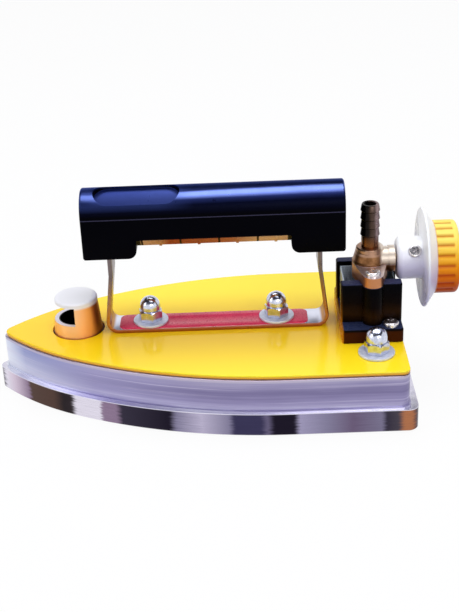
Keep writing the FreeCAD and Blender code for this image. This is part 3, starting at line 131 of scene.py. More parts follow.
# %% Wire and Finish
class Wire:
    """One output socket, with Python's own arithmetic."""

    def __init__(self, finish, socket):
        self.finish = finish
        self.socket = socket

    def sum(self, operation, first, second=0.0):
        return self.finish.add("Math", {"operation": operation}, {0: first, 1: second})

    def __add__(self, other):
        return self.sum("ADD", self, other)

    def __radd__(self, other):
        return self.sum("ADD", other, self)

    def __sub__(self, other):
        return self.sum("SUBTRACT", self, other)

    def __rsub__(self, other):
        return self.sum("SUBTRACT", other, self)

    def __mul__(self, other):
        return self.sum("MULTIPLY", self, other)

    def __rmul__(self, other):
        return self.sum("MULTIPLY", other, self)

    def __truediv__(self, other):
        return self.sum("DIVIDE", self, other)

    def __abs__(self):
        return self.sum("ABSOLUTE", self)

    def sine(self):
        return self.sum("SINE", self)

    def fraction(self):
        return self.sum("FRACT", self)

    def spread(self, low, high, to_low=0.0, to_high=1.0):
        """Stretch the values from low..high to another range, and hold them inside it."""
        inputs = {0: self, 1: low, 2: high, 3: to_low, 4: to_high}
        return self.finish.add("MapRange", {"clamp": True}, inputs)

    def within(self, outer, inner):
        """For a squared distance: nothing beyond the outer radius, all of it inside the inner one."""
        return self.spread(outer ** 2, inner ** 2)

    def ramp(self, *stops):
        """A colour for each value: stops are (place, colour)."""
        return self.finish.add("ValToRGB", {"stops": stops}, {0: self})

    def ramp_between(self, low, high, *stops):
        return self.spread(low, high).ramp(*stops)


class Finish:
    """One material while it is being made."""

    def __init__(self, name):
        self.material = bpy.data.materials.new(name)
        self.material.use_nodes = True
        self.tree = self.material.node_tree
        self.shader = self.tree.nodes["Principled BSDF"]

    def plug(self, socket, value):
        """Link a wire to the socket, or set a plain value on it."""
        if isinstance(value, Wire):
            self.tree.links.new(value.socket, socket)
        elif isinstance(value, tuple) and len(value) == 3 and socket.type == "RGBA":
            socket.default_value = (*value, 1.0)
        else:
            socket.default_value = value

    def add(self, kind, settings=None, inputs=None, output=0):
        """Make a node: its settings first, then what goes into its sockets."""
        node = self.tree.nodes.new(f"ShaderNode{kind}")
        for name, value in (settings or {}).items():
            if name == "stops":
                elements = node.color_ramp.elements
                while len(elements) < len(value):
                    elements.new(1.0)
                for element, (place, colour) in zip(elements, value):
                    element.position = place
                    element.color = (*colour, 1.0)
            else:
                setattr(node, name, value)
        for name, value in (inputs or {}).items():
            self.plug(node.inputs[name], value)
        return Wire(self, node.outputs[output])

    def blend(self, share, first, second, mode="MIX"):
        """Two colours: the first where share is 0, the second where it is 1."""
        settings = {"data_type": "RGBA", "blend_type": mode}
        return self.add("Mix", settings, {0: share, 6: first, 7: second}, output=2)

    def axes(self):
        """The object's own coordinates, one wire each."""
        split = self.add("SeparateXYZ", {}, {0: self.add("TexCoord", output="Object")})
        return [Wire(self, split.socket.node.outputs[axis]) for axis in "XYZ"]

    def noise(self, scale, detail=3.0, roughness=0.5, squeeze=(1, 1, 1)):
        """Noise on the object's own coordinates, finer in the direction in which it is squeezed."""
        here = self.add("TexCoord", output="Object")
        place = self.add("Mapping", {}, {"Vector": here, "Scale": squeeze})
        inputs = {"Vector": place, "Scale": scale, "Detail": detail, "Roughness": roughness}
        return self.add("TexNoise", {}, inputs)

    def set(self, **values):
        """Set sockets of the main shader: Base_Color stands for Base Color."""
        for name, value in values.items():
            self.plug(self.shader.inputs[name.replace("_", " ")], value)
        return self

    def bump(self, height, strength, distance=0.0002):
        relief = {"Height": height, "Strength": strength, "Distance": distance}
        self.set(Normal=self.add("Bump", {}, relief))
        return self


print("Wire and Finish are ready")

# %% [markdown]
# ## Metal finishes
#
# Metals show almost nothing of their own colour and nearly everything of the room, so their detail is in
# the roughness: brushing, cast grain, small dents. Some reflections are painted into their colour: dark and
# pale bands on the sole from tip to heel, the cast wall's tones by height, the yellow cover's warm
# reflection on the strap and the chimney, pale highlights on the cock, and painted light and shade on the
# nipple. Brushing is a noise that is squeezed very fine in one direction. In the finishes and the pieces,
# a size with MM beside it is in metres, and a plain one is in millimetres.

# %% Plated sole and cast wall
SOLE_LENGTH = 247.6 * MM
INK = (0.014, 0.011, 0.022)
PLUM = (0.040, 0.034, 0.056)
BROWN = (0.088, 0.050, 0.040)
MAUVE = (0.27, 0.19, 0.29)
SLATE = (0.24, 0.22, 0.34)
LILAC = (0.50, 0.46, 0.62)
COLD_WHITE = (0.77, 0.73, 0.84)
ORANGE_BAND = (0.43, 0.17, 0.08)
DARK_BAND = (0.024, 0.018, 0.021)
NIGHT = (0.045, 0.040, 0.095)
SOLE_TOP = 14.1 * MM


def plated_sole():
    """Painted reflections as dark and pale bands from tip to heel and across the heel, level brushing, and
    a bright ledge on top.
    """
    finish = Finish("plated_sole")
    x, y, z = finish.axes()
    drift = finish.noise(16, 2, squeeze=(1, 1, 0.3))
    brushed = finish.noise(70, 4, 0.6, squeeze=(1, 1, 26))
    along = x / SOLE_LENGTH + 0.5 + (drift - 0.5) * 0.012 + (brushed - 0.5) * 0.028
    # Painted reflections: dark and pale bands along the side, as the polished sole would mirror the room.
    side_reflection_bands = along.ramp(
        (0.0, PLUM), (0.012, COLD_WHITE), (0.035, (0.66, 0.55, 0.68)), (0.074, MAUVE), (0.082, BROWN),
        (0.14, BROWN), (0.165, DARK_BAND), (0.187, (0.03, 0.022, 0.026)), (0.197, COLD_WHITE),
        (0.258, COLD_WHITE), (0.266, MAUVE), (0.298, MAUVE), (0.312, PLUM), (0.425, INK), (0.440, SLATE),
        (0.50, LILAC), (0.563, SLATE), (0.575, NIGHT), (0.638, NIGHT), (0.652, (0.14, 0.12, 0.21)),
        (0.666, INK), (0.714, INK), (0.726, (0.36, 0.33, 0.50)), (0.79, SLATE), (0.85, (0.15, 0.11, 0.19)),
        (0.915, (0.20, 0.18, 0.28)), (0.926, PLUM), (0.955, (0.07, 0.06, 0.08)), (0.966, ORANGE_BAND),
        (0.984, ORANGE_BAND), (0.997, PLUM))
    across = y / SOLE_LENGTH + 0.5 + (drift - 0.5) * 0.02
    # Painted reflections across the heel as well.
    heel_reflection_bands = across.ramp(
        (0.23, PLUM), (0.27, LILAC), (0.40, SLATE), (0.42, PLUM), (0.47, INK), (0.50, COLD_WHITE),
        (0.58, LILAC), (0.61, PLUM), (0.66, MAUVE), (0.74, LILAC), (0.77, PLUM))
    heel = x.spread(SOLE_LENGTH / 2 - 0.4 * MM, SOLE_LENGTH / 2 - 0.2 * MM)
    painted_reflection_bands = finish.blend(heel, side_reflection_bands, heel_reflection_bands)
    scratches = brushed.ramp((0.3, (0.35, 0.33, 0.38)), (0.65, (1, 1, 1)))
    tone = finish.blend(0.22, painted_reflection_bands, scratches, "MULTIPLY")
    ironing_face = z.spread(0.1 * MM, 0.05 * MM)
    tone = finish.blend(ironing_face, tone, (0.52, 0.50, 0.56))
    ledge = z.spread(SOLE_TOP - 0.4 * MM, SOLE_TOP)
    rim = finish.blend(brushed.spread(0.35, 0.65), (0.60, 0.58, 0.72), (0.84, 0.83, 0.92))
    tone = finish.blend(ledge, tone, rim)
    finish.set(Base_Color=tone, Metallic=1.0, Roughness=brushed.spread(0.25, 0.75, 0.10, 0.24))
    return finish.bump(brushed, 0.06).material


WALL_FOOT = 14.6 * MM
WALL_TOP = 33.4 * MM


def cast_wall():
    """Painted reflections: light at the foot, darker in the upper third and pale towards the tip, with long
    level streaks.
    """
    finish = Finish("cast_wall")
    x, _, z = finish.axes()
    streaks = finish.noise(26, 5, 0.65, squeeze=(0.5, 1, 24))
    clouds = finish.noise(24, 3, squeeze=(1, 1, 2))
    grain = finish.noise(1800, 2)
    height = z.spread(WALL_FOOT, WALL_TOP)
    # Painted reflections by height: light at the foot, darker in the upper third.
    tone = (height + (streaks - 0.5) * 0.5 + (clouds - 0.5) * 0.25).ramp(
        (0.00, (0.66, 0.65, 0.82)), (0.10, (0.42, 0.39, 0.60)), (0.32, (0.29, 0.26, 0.45)),
        (0.62, (0.20, 0.175, 0.33)), (0.85, (0.29, 0.26, 0.44)), (1.00, (0.36, 0.33, 0.50)))
    # Painted reflections, paler and cooler towards the tip.
    tone = finish.blend(x.spread(0, -60 * MM, 0.0, 0.5), tone, (0.40, 0.38, 0.64))
    tip = x.spread(-62 * MM, -112 * MM)
    painted_tip_reflection = finish.blend(height, (0.80, 0.82, 0.94), (0.23, 0.28, 0.56))
    tone = finish.blend(tip * 0.85, tone, painted_tip_reflection)
    very_tip = x.spread(-106 * MM, -119 * MM)
    tone = finish.blend(very_tip * 0.9, tone, (0.80, 0.83, 0.93))
    line = finish.noise(14, 4, 0.7, squeeze=(0.3, 1, 60))
    tone = finish.blend(line.spread(0.56, 0.64, 0.0, 0.45), tone, (0.62, 0.58, 0.76))
    bevel = z.spread(WALL_TOP - 0.2 * MM, WALL_TOP + 0.3 * MM)
    tone = finish.blend(bevel * 0.9, tone, (0.50, 0.45, 0.58))
    finish.set(Base_Color=tone, Metallic=0.9, Roughness=streaks.spread(0.2, 0.8, 0.30, 0.46))
    return finish.bump(streaks * 0.6 + grain * 0.4, 0.25).material


def bright_metal(name, dark, light, low, high, metal=1.0):
    """Chrome, zinc or polished steel with fine scuffs, which are rougher than the rest."""
    finish = Finish(name)
    scuffs = finish.noise(400, 4, 0.6)
    tone = scuffs.ramp((0.3, dark), (0.65, light))
    finish.set(Base_Color=tone, Metallic=metal, Roughness=scuffs.spread(0.3, 0.75, low, high))
    return finish.bump(scuffs, 0.02).material


def strap_steel():
    """Rolled steel: uprights brown-grey with a painted warm reflection of the cover below, a bright foot
    with a coppery edge.
    """
    finish = Finish("strap_steel")
    _, y, z = finish.axes()
    rolled = finish.noise(90, 4, 0.6, squeeze=(1, 0.1, 1))
    stain = finish.noise(35, 3)
    tone = (rolled * 0.6 + stain * 0.4).ramp((0.35, (0.11, 0.085, 0.085)), (0.68, (0.21, 0.17, 0.175)))
    # Painted warm reflection of the yellow cover, stronger towards the bottom of the uprights.
    tone = finish.blend(z.spread(76 * MM, 46 * MM, 0.0, 0.9), tone, (0.50, 0.24, 0.08))
    tone = finish.blend(z.spread(42 * MM, 41 * MM), tone, (0.80, 0.82, 0.96))
    edge = abs(y).spread(9.3 * MM, 9.6 * MM) * z.spread(43 * MM, 41 * MM)
    tone = finish.blend(edge, tone, (0.40, 0.15, 0.09))
    finish.set(Base_Color=tone, Metallic=1.0, Roughness=rolled.spread(0.3, 0.7, 0.22, 0.40))
    return finish.bump(rolled, 0.15).material


CHIMNEY_X = -74.2 * MM
CHIMNEY_RIM = 45.8 * MM


def chimney_metal():
    """A pale cap with painted shade on its right, and below it a painted orange reflection of the yellow
    cover, darker to the right. The inside of the flue is near-black.
    """
    finish = Finish("chimney_metal")
    x, y, z = finish.axes()
    cloud = finish.noise(60, 3)
    warm = z.spread(57.2 * MM, 55.8 * MM)
    out = x - CHIMNEY_X
    around = out / (15 * MM) + (cloud - 0.5) * 0.3
    # Painted orange reflection of the yellow cover on the tube, darker towards the right.
    bloom = around.ramp((0.0, (0.92, 0.56, 0.28)), (0.35, (0.92, 0.46, 0.19)), (0.60, (0.88, 0.40, 0.12)),
                        (0.82, (0.42, 0.17, 0.05)), (0.97, (0.34, 0.14, 0.06)))
    from_axis = out * out + y * y
    rim_top = abs(z - CHIMNEY_RIM).spread(0.5 * MM, 0.2 * MM) * from_axis.within(13.8 * MM, 13.5 * MM)
    bloom = finish.blend(rim_top, bloom, (0.84, 0.81, 0.93))
    # The pale cap, with painted shade towards its right.
    pale = around.ramp((0.0, (0.88, 0.88, 0.92)), (0.6, (0.88, 0.88, 0.92)), (0.92, (0.45, 0.43, 0.66)))
    tone = finish.blend(warm, pale, bloom)
    # The inside of the flue is near-black.
    flue = from_axis.within(11.4 * MM, 11.0 * MM) * z.spread(46.3 * MM, 46.0 * MM)
    tone = finish.blend(flue, tone, (0.004, 0.004, 0.006))
    finish.set(Base_Color=tone, Metallic=warm * 0.75 + 0.15, Roughness=cloud.spread(0.3, 0.7, 0.34, 0.44))
    return finish.bump(cloud, 0.05).material


COCK_X = 101.6
COCK_Y = -2.5
KNOB_AXIS = 78.2
EAR_TOP = 77.2


def cock_brass():
    """A dark casting with painted pale highlights on top of its branch, on its ears and on the rim of its
    cone.
    """
    finish = Finish("cock_brass")
    x, _, z = finish.axes()
    stain = finish.noise(110, 4, 0.6)
    tone = stain.ramp(
        (0.34, (0.10, 0.045, 0.018)), (0.50, (0.20, 0.090, 0.036)), (0.66, (0.34, 0.17, 0.08)))
    ear_front = z.spread((EAR_TOP + 0.1) * MM, (EAR_TOP - 0.2) * MM)
    tone = finish.blend(ear_front * 0.8, tone, (0.56, 0.24, 0.11))
    # Painted highlight on the flat tops of the ears.
    ear_top = abs(z - EAR_TOP * MM).spread(0.15 * MM, 0.08 * MM)
    ear_top_highlight = stain.ramp((0.35, (0.42, 0.33, 0.33)), (0.6, (0.74, 0.63, 0.64)))
    tone = finish.blend(ear_top, tone, ear_top_highlight)
    # Painted highlight along the top of the branch.
    branch_top_highlight = x.spread(106.5 * MM, 108 * MM) * z.spread(76.5 * MM, 81 * MM)
    tone = finish.blend(branch_top_highlight, tone, (0.72, 0.62, 0.52))
    # Painted highlight on the rim of the cone.
    cone_rim_highlight = z.spread(82.3 * MM, 83 * MM) * x.spread(107 * MM, 106.5 * MM)
    tone = finish.blend(cone_rim_highlight * 0.55, tone, (0.48, 0.30, 0.22))
    rough = stain.spread(0.3, 0.7, 0.44, 0.28)
    finish.set(Base_Color=tone, Metallic=1 - branch_top_highlight * 0.6, Roughness=rough)
    return finish.bump(stain, 0.12).material


NIPPLE_CREST = 5.7


def nipple_brass():
    """Painted shade makes it almost black on its left side, painted light rose-grey on its right; coppery
    at its foot.
    """
    finish = Finish("nipple_brass")
    x, _, z = finish.axes()
    stain = finish.noise(160, 3, 0.6)
    # Painted shade on the left and painted light on the right, across the nipple.
    around = (x - COCK_X * MM) / (NIPPLE_CREST * MM) * 0.5 + 0.5 + (stain - 0.5) * 0.2
    tone = around.ramp(
        (0.12, (0.006, 0.005, 0.005)), (0.36, (0.012, 0.010, 0.009)), (0.48, (0.055, 0.035, 0.026)),
        (0.66, (0.085, 0.056, 0.048)), (0.80, (0.32, 0.23, 0.235)), (0.95, (0.20, 0.14, 0.14)))
    foot = z.spread(95 * MM, 89 * MM)
    tone = finish.blend(foot * 0.85, tone, (0.17, 0.062, 0.018))
    finish.set(Base_Color=tone, Metallic=1.0, Roughness=stain.spread(0.3, 0.7, 0.22, 0.36))
    return finish.bump(stain, 0.08).material


def plain_brass():
    """Turned brass that has gone dull in patches."""
    finish = Finish("plain_brass")
    stain = finish.noise(120, 4, 0.6)
    tone = stain.ramp(
        (0.34, (0.30, 0.18, 0.07)), (0.5, (0.50, 0.33, 0.14)), (0.66, (0.66, 0.47, 0.24)))
    finish.set(Base_Color=tone, Metallic=1.0, Roughness=stain.spread(0.3, 0.7, 0.36, 0.22))
    return finish.bump(stain, 0.1).material


finishes = {
    "plated_sole": plated_sole(),
    "cast_wall": cast_wall(),
    "chrome": bright_metal("chrome", (0.46, 0.49, 0.62), (0.72, 0.75, 0.88), 0.15, 0.24),
    "washer_zinc": bright_metal(
        "washer_zinc", (0.58, 0.62, 0.76), (0.74, 0.77, 0.90), 0.36, 0.46, metal=0.45),
    "screw_steel": bright_metal("screw_steel", (0.58, 0.55, 0.56), (0.84, 0.81, 0.83), 0.20, 0.34),
    "chimney_metal": chimney_metal(),
    "strap_steel": strap_steel(),
    "cock_brass": cock_brass(),
    "nipple_brass": nipple_brass(),
    "plain_brass": plain_brass(),
}
print(f"{len(finishes)} metal finishes")

# %% [markdown]
# ## Enamel, mouldings and plastics
#
# Enamel is glass over steel: a strong clean colour under a clear coat. The cover's yellow has painted
# shade: it is deepest along its middle and paler towards its long edges, and its thin side is orange. The
# black mouldings have a fine orange-peel surface, a painted blue sheen on the handle's round top and in its
# thumb recess, and painted warm light from the cover underneath. The knob's plastic is duller, and
# painted shade deepens its orange and greys its white from the top to the bottom.

# %% Enamel and plastics
def yellow_enamel():
    """Painted shade: deep along the middle and towards the tip, paler at both sides; orange down the thin
    edge, under a thin coat.
    """
    finish = Finish("yellow_enamel")
    x, y, z = finish.axes()
    flow = finish.noise(9, 2)
    # Painted shade: deepest along the middle, under the strap and handle, and towards the tip; paler
    # towards both long edges.
    near_edge = y.spread(-20 * MM, -66 * MM)
    tip = x.spread(-20 * MM, -105 * MM)
    tone = (near_edge + (flow - 0.5) * 0.1).ramp(
        (0.0, (0.98, 0.62, 0.008)), (0.45, (0.98, 0.68, 0.010)), (1.0, (0.98, 0.78, 0.020)))
    far = y.spread(6 * MM, 40 * MM)
    tone = finish.blend(far, tone, (0.98, 0.76, 0.020))
    tone = finish.blend(tip * (1 - near_edge) * (1 - far) * 0.6, tone, (0.98, 0.66, 0.004))
    edge = z.spread(37.3 * MM, 36.9 * MM)
    tone = finish.blend(edge * 0.85, tone, (0.92, 0.40, 0.03))
    peel = finish.noise(260, 2)
    finish.set(Base_Color=tone, Roughness=peel.spread(0.3, 0.7, 0.14, 0.20))
    finish.set(Specular_IOR_Level=0.25, Coat_Weight=0.12, Coat_Roughness=0.03)
    return finish.bump(peel, 0.015).material


HANDLE_LINE = 113.4 * MM
CROWN_RISE = 14.2
CROWN_SHEEN_BLUE = (0.12, 0.17, 0.46)
THUMB_TILT = math.radians(19)
THUMB_FLOOR = 8.8 * MM
GAP_FROM = -32 * MM
GAP_TO = 53 * MM
FINGER_PITCH = 22.3 * MM


def handle_black():
    """Black with a painted blue sheen on the round top and the thumb recess floor, a painted warm
    reflection of the cover under the grip with painted dark strokes of shade, and the pale line where the
    mould's halves met.
    """
    finish = Finish("handle_black")
    x, y, z = finish.axes()
    peel = finish.noise(300, 3, 0.55)
    flow = finish.noise(22, 3, squeeze=(0.4, 1, 1))
    tone = flow.ramp((0.35, (0.0004, 0.0004, 0.0008)), (0.7, (0.0012, 0.0010, 0.0018)))
    rise = z - HANDLE_LINE
    lean = x.spread(-10 * MM, 69 * MM, 0.9, 0.0)
    height = (rise / MM + (flow - 0.5) + lean) / CROWN_RISE
    # Painted blue sheen on the round top, brightest in a band below its crest.
    crown = height.ramp(
        (0.20, (0.001, 0.001, 0.004)), (0.56, (0.002, 0.003, 0.014)), (0.74, (0.014, 0.022, 0.10)),
        (0.86, CROWN_SHEEN_BLUE), (0.93, CROWN_SHEEN_BLUE), (0.975, (0.008, 0.012, 0.05)))
    top = rise.spread(1.5 * MM, 3 * MM)
    front_end = x.spread(0, -20 * MM)
    # A dimmer, wider painted sheen at the front end.
    crown = finish.blend(front_end * height.spread(0.35, 0.6, 0.0, 0.6), crown, (0.026, 0.042, 0.16))
    tone = finish.blend(top, tone, crown)
    line = abs(rise).spread(0.40 * MM, 0.20 * MM)
    tone = finish.blend(line * 0.9, tone, (0.044, 0.042, 0.080))
    floor_place = rise * math.cos(THUMB_TILT) - y * math.sin(THUMB_TILT)
    inside = (y * y + rise * rise).within(13.5 * MM, 13.2 * MM)
    thumb_floor = abs(floor_place - THUMB_FLOOR).spread(0.5 * MM, 0.2 * MM) * inside * top
    thumb_wall = floor_place.spread(9.3 * MM, 9.8 * MM) * inside
    tone = finish.blend(thumb_wall, tone, (0.001, 0.001, 0.004))
    # Painted blue sheen on the floor of the thumb recess.
    thumb_floor_sheen = flow.ramp((0.3, (0.014, 0.024, 0.12)), (0.7, (0.050, 0.075, 0.26)))
    tone = finish.blend(thumb_floor, tone, thumb_floor_sheen)
    sheen = top * height.spread(0.45, 0.88) * (1 - thumb_wall)
    in_gap = x.spread(GAP_FROM, GAP_FROM + 0.5 * MM) * x.spread(GAP_TO + 0.5 * MM, GAP_TO)
    under = in_gap * z.spread(100.4 * MM, 99.9 * MM)
    # Painted warm reflection of the yellow cover under the grip, with painted dark strokes of shade at the
    # finger pitch.
    warm = x.ramp_between(
        GAP_FROM, GAP_TO, (0.0, (0.62, 0.38, 0.20)), (0.14, (0.50, 0.24, 0.10)),
        (0.20, (0.34, 0.06, 0.016)), (0.62, (0.42, 0.13, 0.05)), (0.80, (0.66, 0.40, 0.20)))
    rib_gap = abs(((x - 2.5 * MM) / FINGER_PITCH).fraction() - 0.5)
    tone = finish.blend(under, tone, finish.blend(rib_gap.spread(0.035, 0.02), warm, (0.02, 0.004, 0.001)))
    finish.set(Base_Color=tone, Metallic=sheen * 0.95, Roughness=peel.spread(0.25, 0.75, 0.26, 0.38))
    finish.set(Specular_IOR_Level=0.025, Specular_Tint=(0.55, 0.60, 1.0))
    return finish.bump(peel, 0.03).material


LEDGE_TOP = 46.7


def holder_black():
    """Black with painted warm light from the yellow cover low down and on the side towards the tip, and
    painted blue highlights on the ledge and the rim on top.
    """
    finish = Finish("holder_black")
    x, _, z = finish.axes()
    peel = finish.noise(420, 3, 0.55)
    flow = finish.noise(40, 3)
    low = z.spread(68 * MM, 44 * MM)
    # Black, with painted warm light from the cover in a brown band low on the walls.
    tone = (low * 0.8 + flow * 0.4).ramp(
        (0.15, (0.001, 0.0012, 0.0015)), (0.50, (0.004, 0.0018, 0.0010)),
        (0.72, (0.022, 0.008, 0.0015)), (0.90, (0.003, 0.0015, 0.001)))
    # Painted orange light from the cover along the foot.
    foot = z.spread(45.6 * MM, 44.8 * MM)
    tone = finish.blend(foot * 0.8, tone, (0.060, 0.013, 0.002))
    # Painted blue highlight on the top of the ledge.
    ledge = abs(z - LEDGE_TOP * MM).spread(0.35 * MM, 0.15 * MM)
    ledge_sheen = flow.ramp((0.35, (0.012, 0.016, 0.045)), (0.65, (0.022, 0.030, 0.075)))
    tone = finish.blend(ledge, tone, ledge_sheen)
    # Painted blue highlight on the rim of the walls.
    strip = z.spread(70.4 * MM, 70.8 * MM)
    tone = finish.blend(strip, tone, (0.028, 0.032, 0.075))
    # Painted light from the cover on the face towards the tip, orange near the bottom.
    tip_side = x.spread(84.2 * MM, 83.5 * MM)
    cover_bounce = z.ramp_between(
        40 * MM, 71 * MM, (0.0, (0.60, 0.22, 0.006)), (0.35, (0.22, 0.075, 0.005)),
        (0.65, (0.05, 0.02, 0.004)), (0.95, (0.01, 0.009, 0.01)))
    tone = finish.blend(tip_side, tone, cover_bounce)
    finish.set(Base_Color=tone, Roughness=peel.spread(0.25, 0.75, 0.22, 0.34))
    finish.set(Specular_IOR_Level=0.03, Specular_Tint=(0.75, 0.72, 1.0))
    return finish.bump(peel, 0.03).material


def red_plate():
    """Red enamel with a slight flake."""
    finish = Finish("red_plate")
    flake = finish.noise(900, 3, 0.7)
    cloud = finish.noise(60, 2)
    tone = (flake * 0.3 + cloud * 0.7).ramp((0.35, (0.60, 0.034, 0.095)), (0.65, (0.80, 0.055, 0.135)))
    finish.set(Base_Color=tone, Roughness=flake.spread(0.3, 0.7, 0.24, 0.34))
    finish.set(Specular_IOR_Level=0.2, Coat_Weight=0.08, Coat_Roughness=0.08)
    return finish.bump(flake, 0.03).material


DISC_RADIUS = 29.4


def white_plastic():
    """White above, and lilac-grey below where shade is painted."""
    finish = Finish("white_plastic")
    _, _, z = finish.axes()
    cloud = finish.noise(40, 3)
    # Painted shade by height: white at the top, lilac-grey towards the bottom.
    height = (z / MM - KNOB_AXIS) / DISC_RADIUS * 0.5 + 0.5 + (cloud - 0.5) * 0.06
    tone = height.ramp((0.15, (0.54, 0.53, 0.74)), (0.48, (0.64, 0.62, 0.82)), (0.68, (0.94, 0.95, 0.97)))
    finish.set(Base_Color=tone, Roughness=cloud.spread(0.3, 0.7, 0.24, 0.34))
    return finish.bump(cloud, 0.02).material


GRIP_RADIUS = 21.5 * MM


def orange_plastic():
    """Painted shade: yellow-orange above, deep orange below, and darker in the grooves."""
    finish = Finish("orange_plastic")
    x, y, z = finish.axes()
    cloud = finish.noise(70, 3)
    across = y - COCK_Y * MM
    rise = z - KNOB_AXIS * MM
    height = rise / GRIP_RADIUS * 0.5 + 0.5 + (cloud - 0.5) * 0.06
    # Painted shade by height: yellow-orange at the top, deep orange at the bottom.
    tone = height.ramp(
        (0.08, (0.40, 0.050, 0.001)), (0.26, (0.62, 0.10, 0.001)), (0.40, (0.84, 0.19, 0.002)),
        (0.55, (0.97, 0.34, 0.006)), (0.72, (0.97, 0.56, 0.04)), (0.92, (0.96, 0.78, 0.16)))
    # Painted shade in the grooves.
    groove_shade = (across * across + rise * rise).within(GRIP_RADIUS - 0.1 * MM, GRIP_RADIUS - 0.8 * MM)
    front = x.spread(148.4 * MM, 148.9 * MM)
    tone = finish.blend(groove_shade * (1 - front), tone, (0.66, 0.36, 0.20), "MULTIPLY")
    seam = x.spread(139.2 * MM, 138.9 * MM)
    tone = finish.blend(seam * 0.6, tone, (0.72, 0.42, 0.24))
    finish.set(Base_Color=tone, Roughness=cloud.spread(0.3, 0.7, 0.34, 0.44), Specular_IOR_Level=0.12)
    return finish.bump(cloud, 0.03).material


GAUZE_PITCH = 1.2 * MM


def woven_gauze():
    """Pale upright wires crossed by finer level ones, with painted shade of the branch towards the heel."""
    finish = Finish("woven_gauze")
    x, y, z = finish.axes()
    turns = math.pi / GAUZE_PITCH
    upright_wire = abs(((x + y) * turns).sine())
    level_wire = abs((z * turns).sine())
    wire = upright_wire * 0.75 + level_wire * 0.25
    tone = wire.ramp((0.25, (0.34, 0.42, 0.52)), (0.60, (0.66, 0.77, 0.88)), (0.90, (0.80, 0.90, 0.99)))
    # Painted shade of the branch over the heel side.
    shade = x.spread(96 * MM, 106 * MM)
    tone = finish.blend(shade * 0.85, tone, (0.03, 0.07, 0.10))
    finish.set(Base_Color=tone, Metallic=0.15, Roughness=wire.spread(0.3, 1.0, 0.50, 0.30))
    return finish.bump(wire, 0.6, 0.0003).material


def mineral_sheet():
    """A pale board of pressed fibres."""
    finish = Finish("mineral_sheet")
    fibres = finish.noise(180, 5, 0.7, squeeze=(1, 4, 1))
    tone = fibres.ramp((0.3, (0.52, 0.50, 0.45)), (0.7, (0.78, 0.76, 0.70)))
    finish.set(Base_Color=tone, Roughness=0.9)
    return finish.bump(fibres, 0.4).material


def seal_rubber():
    """Black rubber with a grey bloom."""
    finish = Finish("seal_rubber")
    bloom = finish.noise(240, 3)
    tone = bloom.ramp((0.3, (0.02, 0.02, 0.02)), (0.7, (0.05, 0.05, 0.05)))
    finish.set(Base_Color=tone, Roughness=0.7)
    return finish.bump(bloom, 0.1).material


finishes.update({
    "yellow_enamel": yellow_enamel(),
    "handle_black": handle_black(),
    "holder_black": holder_black(),
    "red_plate": red_plate(),
    "white_plastic": white_plastic(),
    "orange_plastic": orange_plastic(),
    "woven_gauze": woven_gauze(),
    "mineral_sheet": mineral_sheet(),
    "seal_rubber": seal_rubber(),
})
print(f"{len(finishes)} finishes in all")

# %% [markdown]
# ## Hands for modelling
#
# Edit-mode tools act on whatever is selected, so the small helpers below do what a hand does: take one
# object, enter edit mode, pick the faces or edges at a certain place, and leave again. Turned pieces
# start as a circle. Its face is extruded and resized again and again up the profile, as on a lathe.

# %% Helpers
def let_go():
    """Nothing stays selected, so that the next tool touches only what it should."""
    bpy.ops.object.select_all(action="DESELECT")


def take(piece):
    let_go()
    piece.select_set(True)
    bpy.context.view_layer.objects.active = piece
    return piece


def pick(kind, test):
    """In edit mode, select only the faces, edges or vertices that pass the test."""
    bpy.ops.mesh.select_all(action="DESELECT")
    bpy.ops.mesh.select_mode(type=kind)
    mesh = bpy.context.edit_object.data
    shape = bmesh.from_edit_mesh(mesh)
    found = 0
    for item in {"VERT": shape.verts, "EDGE": shape.edges, "FACE": shape.faces}[kind]:
        if test(item):
            item.select_set(True)
            found += 1
    bmesh.update_edit_mesh(mesh)
    return found


def middle(item):
    """The middle of an edge or a face, in millimetres."""
    corners = [vertex.co for vertex in item.verts]
    return sum(corners, Vector()) / len(corners) / MM


def close(value, target, slip=0.02):
    return abs(value - target) < slip


def bevel_edges(piece, test, width, segments=3):
    """Round the edges that pass the test."""
    take(piece)
    bpy.ops.object.mode_set(mode="EDIT")
    found = pick("EDGE", test)
    bpy.ops.mesh.bevel(offset=width * MM, segments=segments, profile=0.5, clamp_overlap=True)
    bpy.ops.object.mode_set(mode="OBJECT")
    return found


def turn(name, profile, segments=64, hollow=False):
    """A piece turned about Z: profile is (radius, height) in millimetres, from the first ring onwards."""
    let_go()
    radius, height = profile[0]
    fill = "NOTHING" if hollow else "NGON"
    bpy.ops.mesh.primitive_circle_add(vertices=segments, radius=radius * MM, fill_type=fill,
                                      location=(0, 0, height * MM))
    piece = bpy.context.object
    piece.name = name
    bpy.ops.object.transform_apply(location=True)
    bpy.ops.object.mode_set(mode="EDIT")
    bpy.ops.mesh.select_mode(type="VERT")
    bpy.ops.mesh.select_all(action="SELECT")
    for next_radius, next_height in profile[1:]:
        rise = (next_height - height) * MM
        bpy.ops.mesh.extrude_region_move(TRANSFORM_OT_translate={"value": (0, 0, rise)})
        share = next_radius / radius
        bpy.ops.transform.resize(value=(share, share, 1), center_override=(0, 0, next_height * MM))
        radius, height = next_radius, next_height
    bpy.ops.mesh.select_all(action="SELECT")
    bpy.ops.mesh.remove_doubles(threshold=0.001 * MM)
    bpy.ops.mesh.normals_make_consistent(inside=False)
    bpy.ops.object.mode_set(mode="OBJECT")
    return piece


def settle(piece, at=(0, 0, 0), turn_x=0, turn_y=0, turn_z=0):
    """Turn a piece, move it to its place in millimetres, and put both into its mesh."""
    take(piece)
    piece.rotation_euler = [math.radians(angle) for angle in (turn_x, turn_y, turn_z)]
    piece.location = Vector(at) * MM
    bpy.ops.object.transform_apply(location=True, rotation=True, scale=True)
    return piece


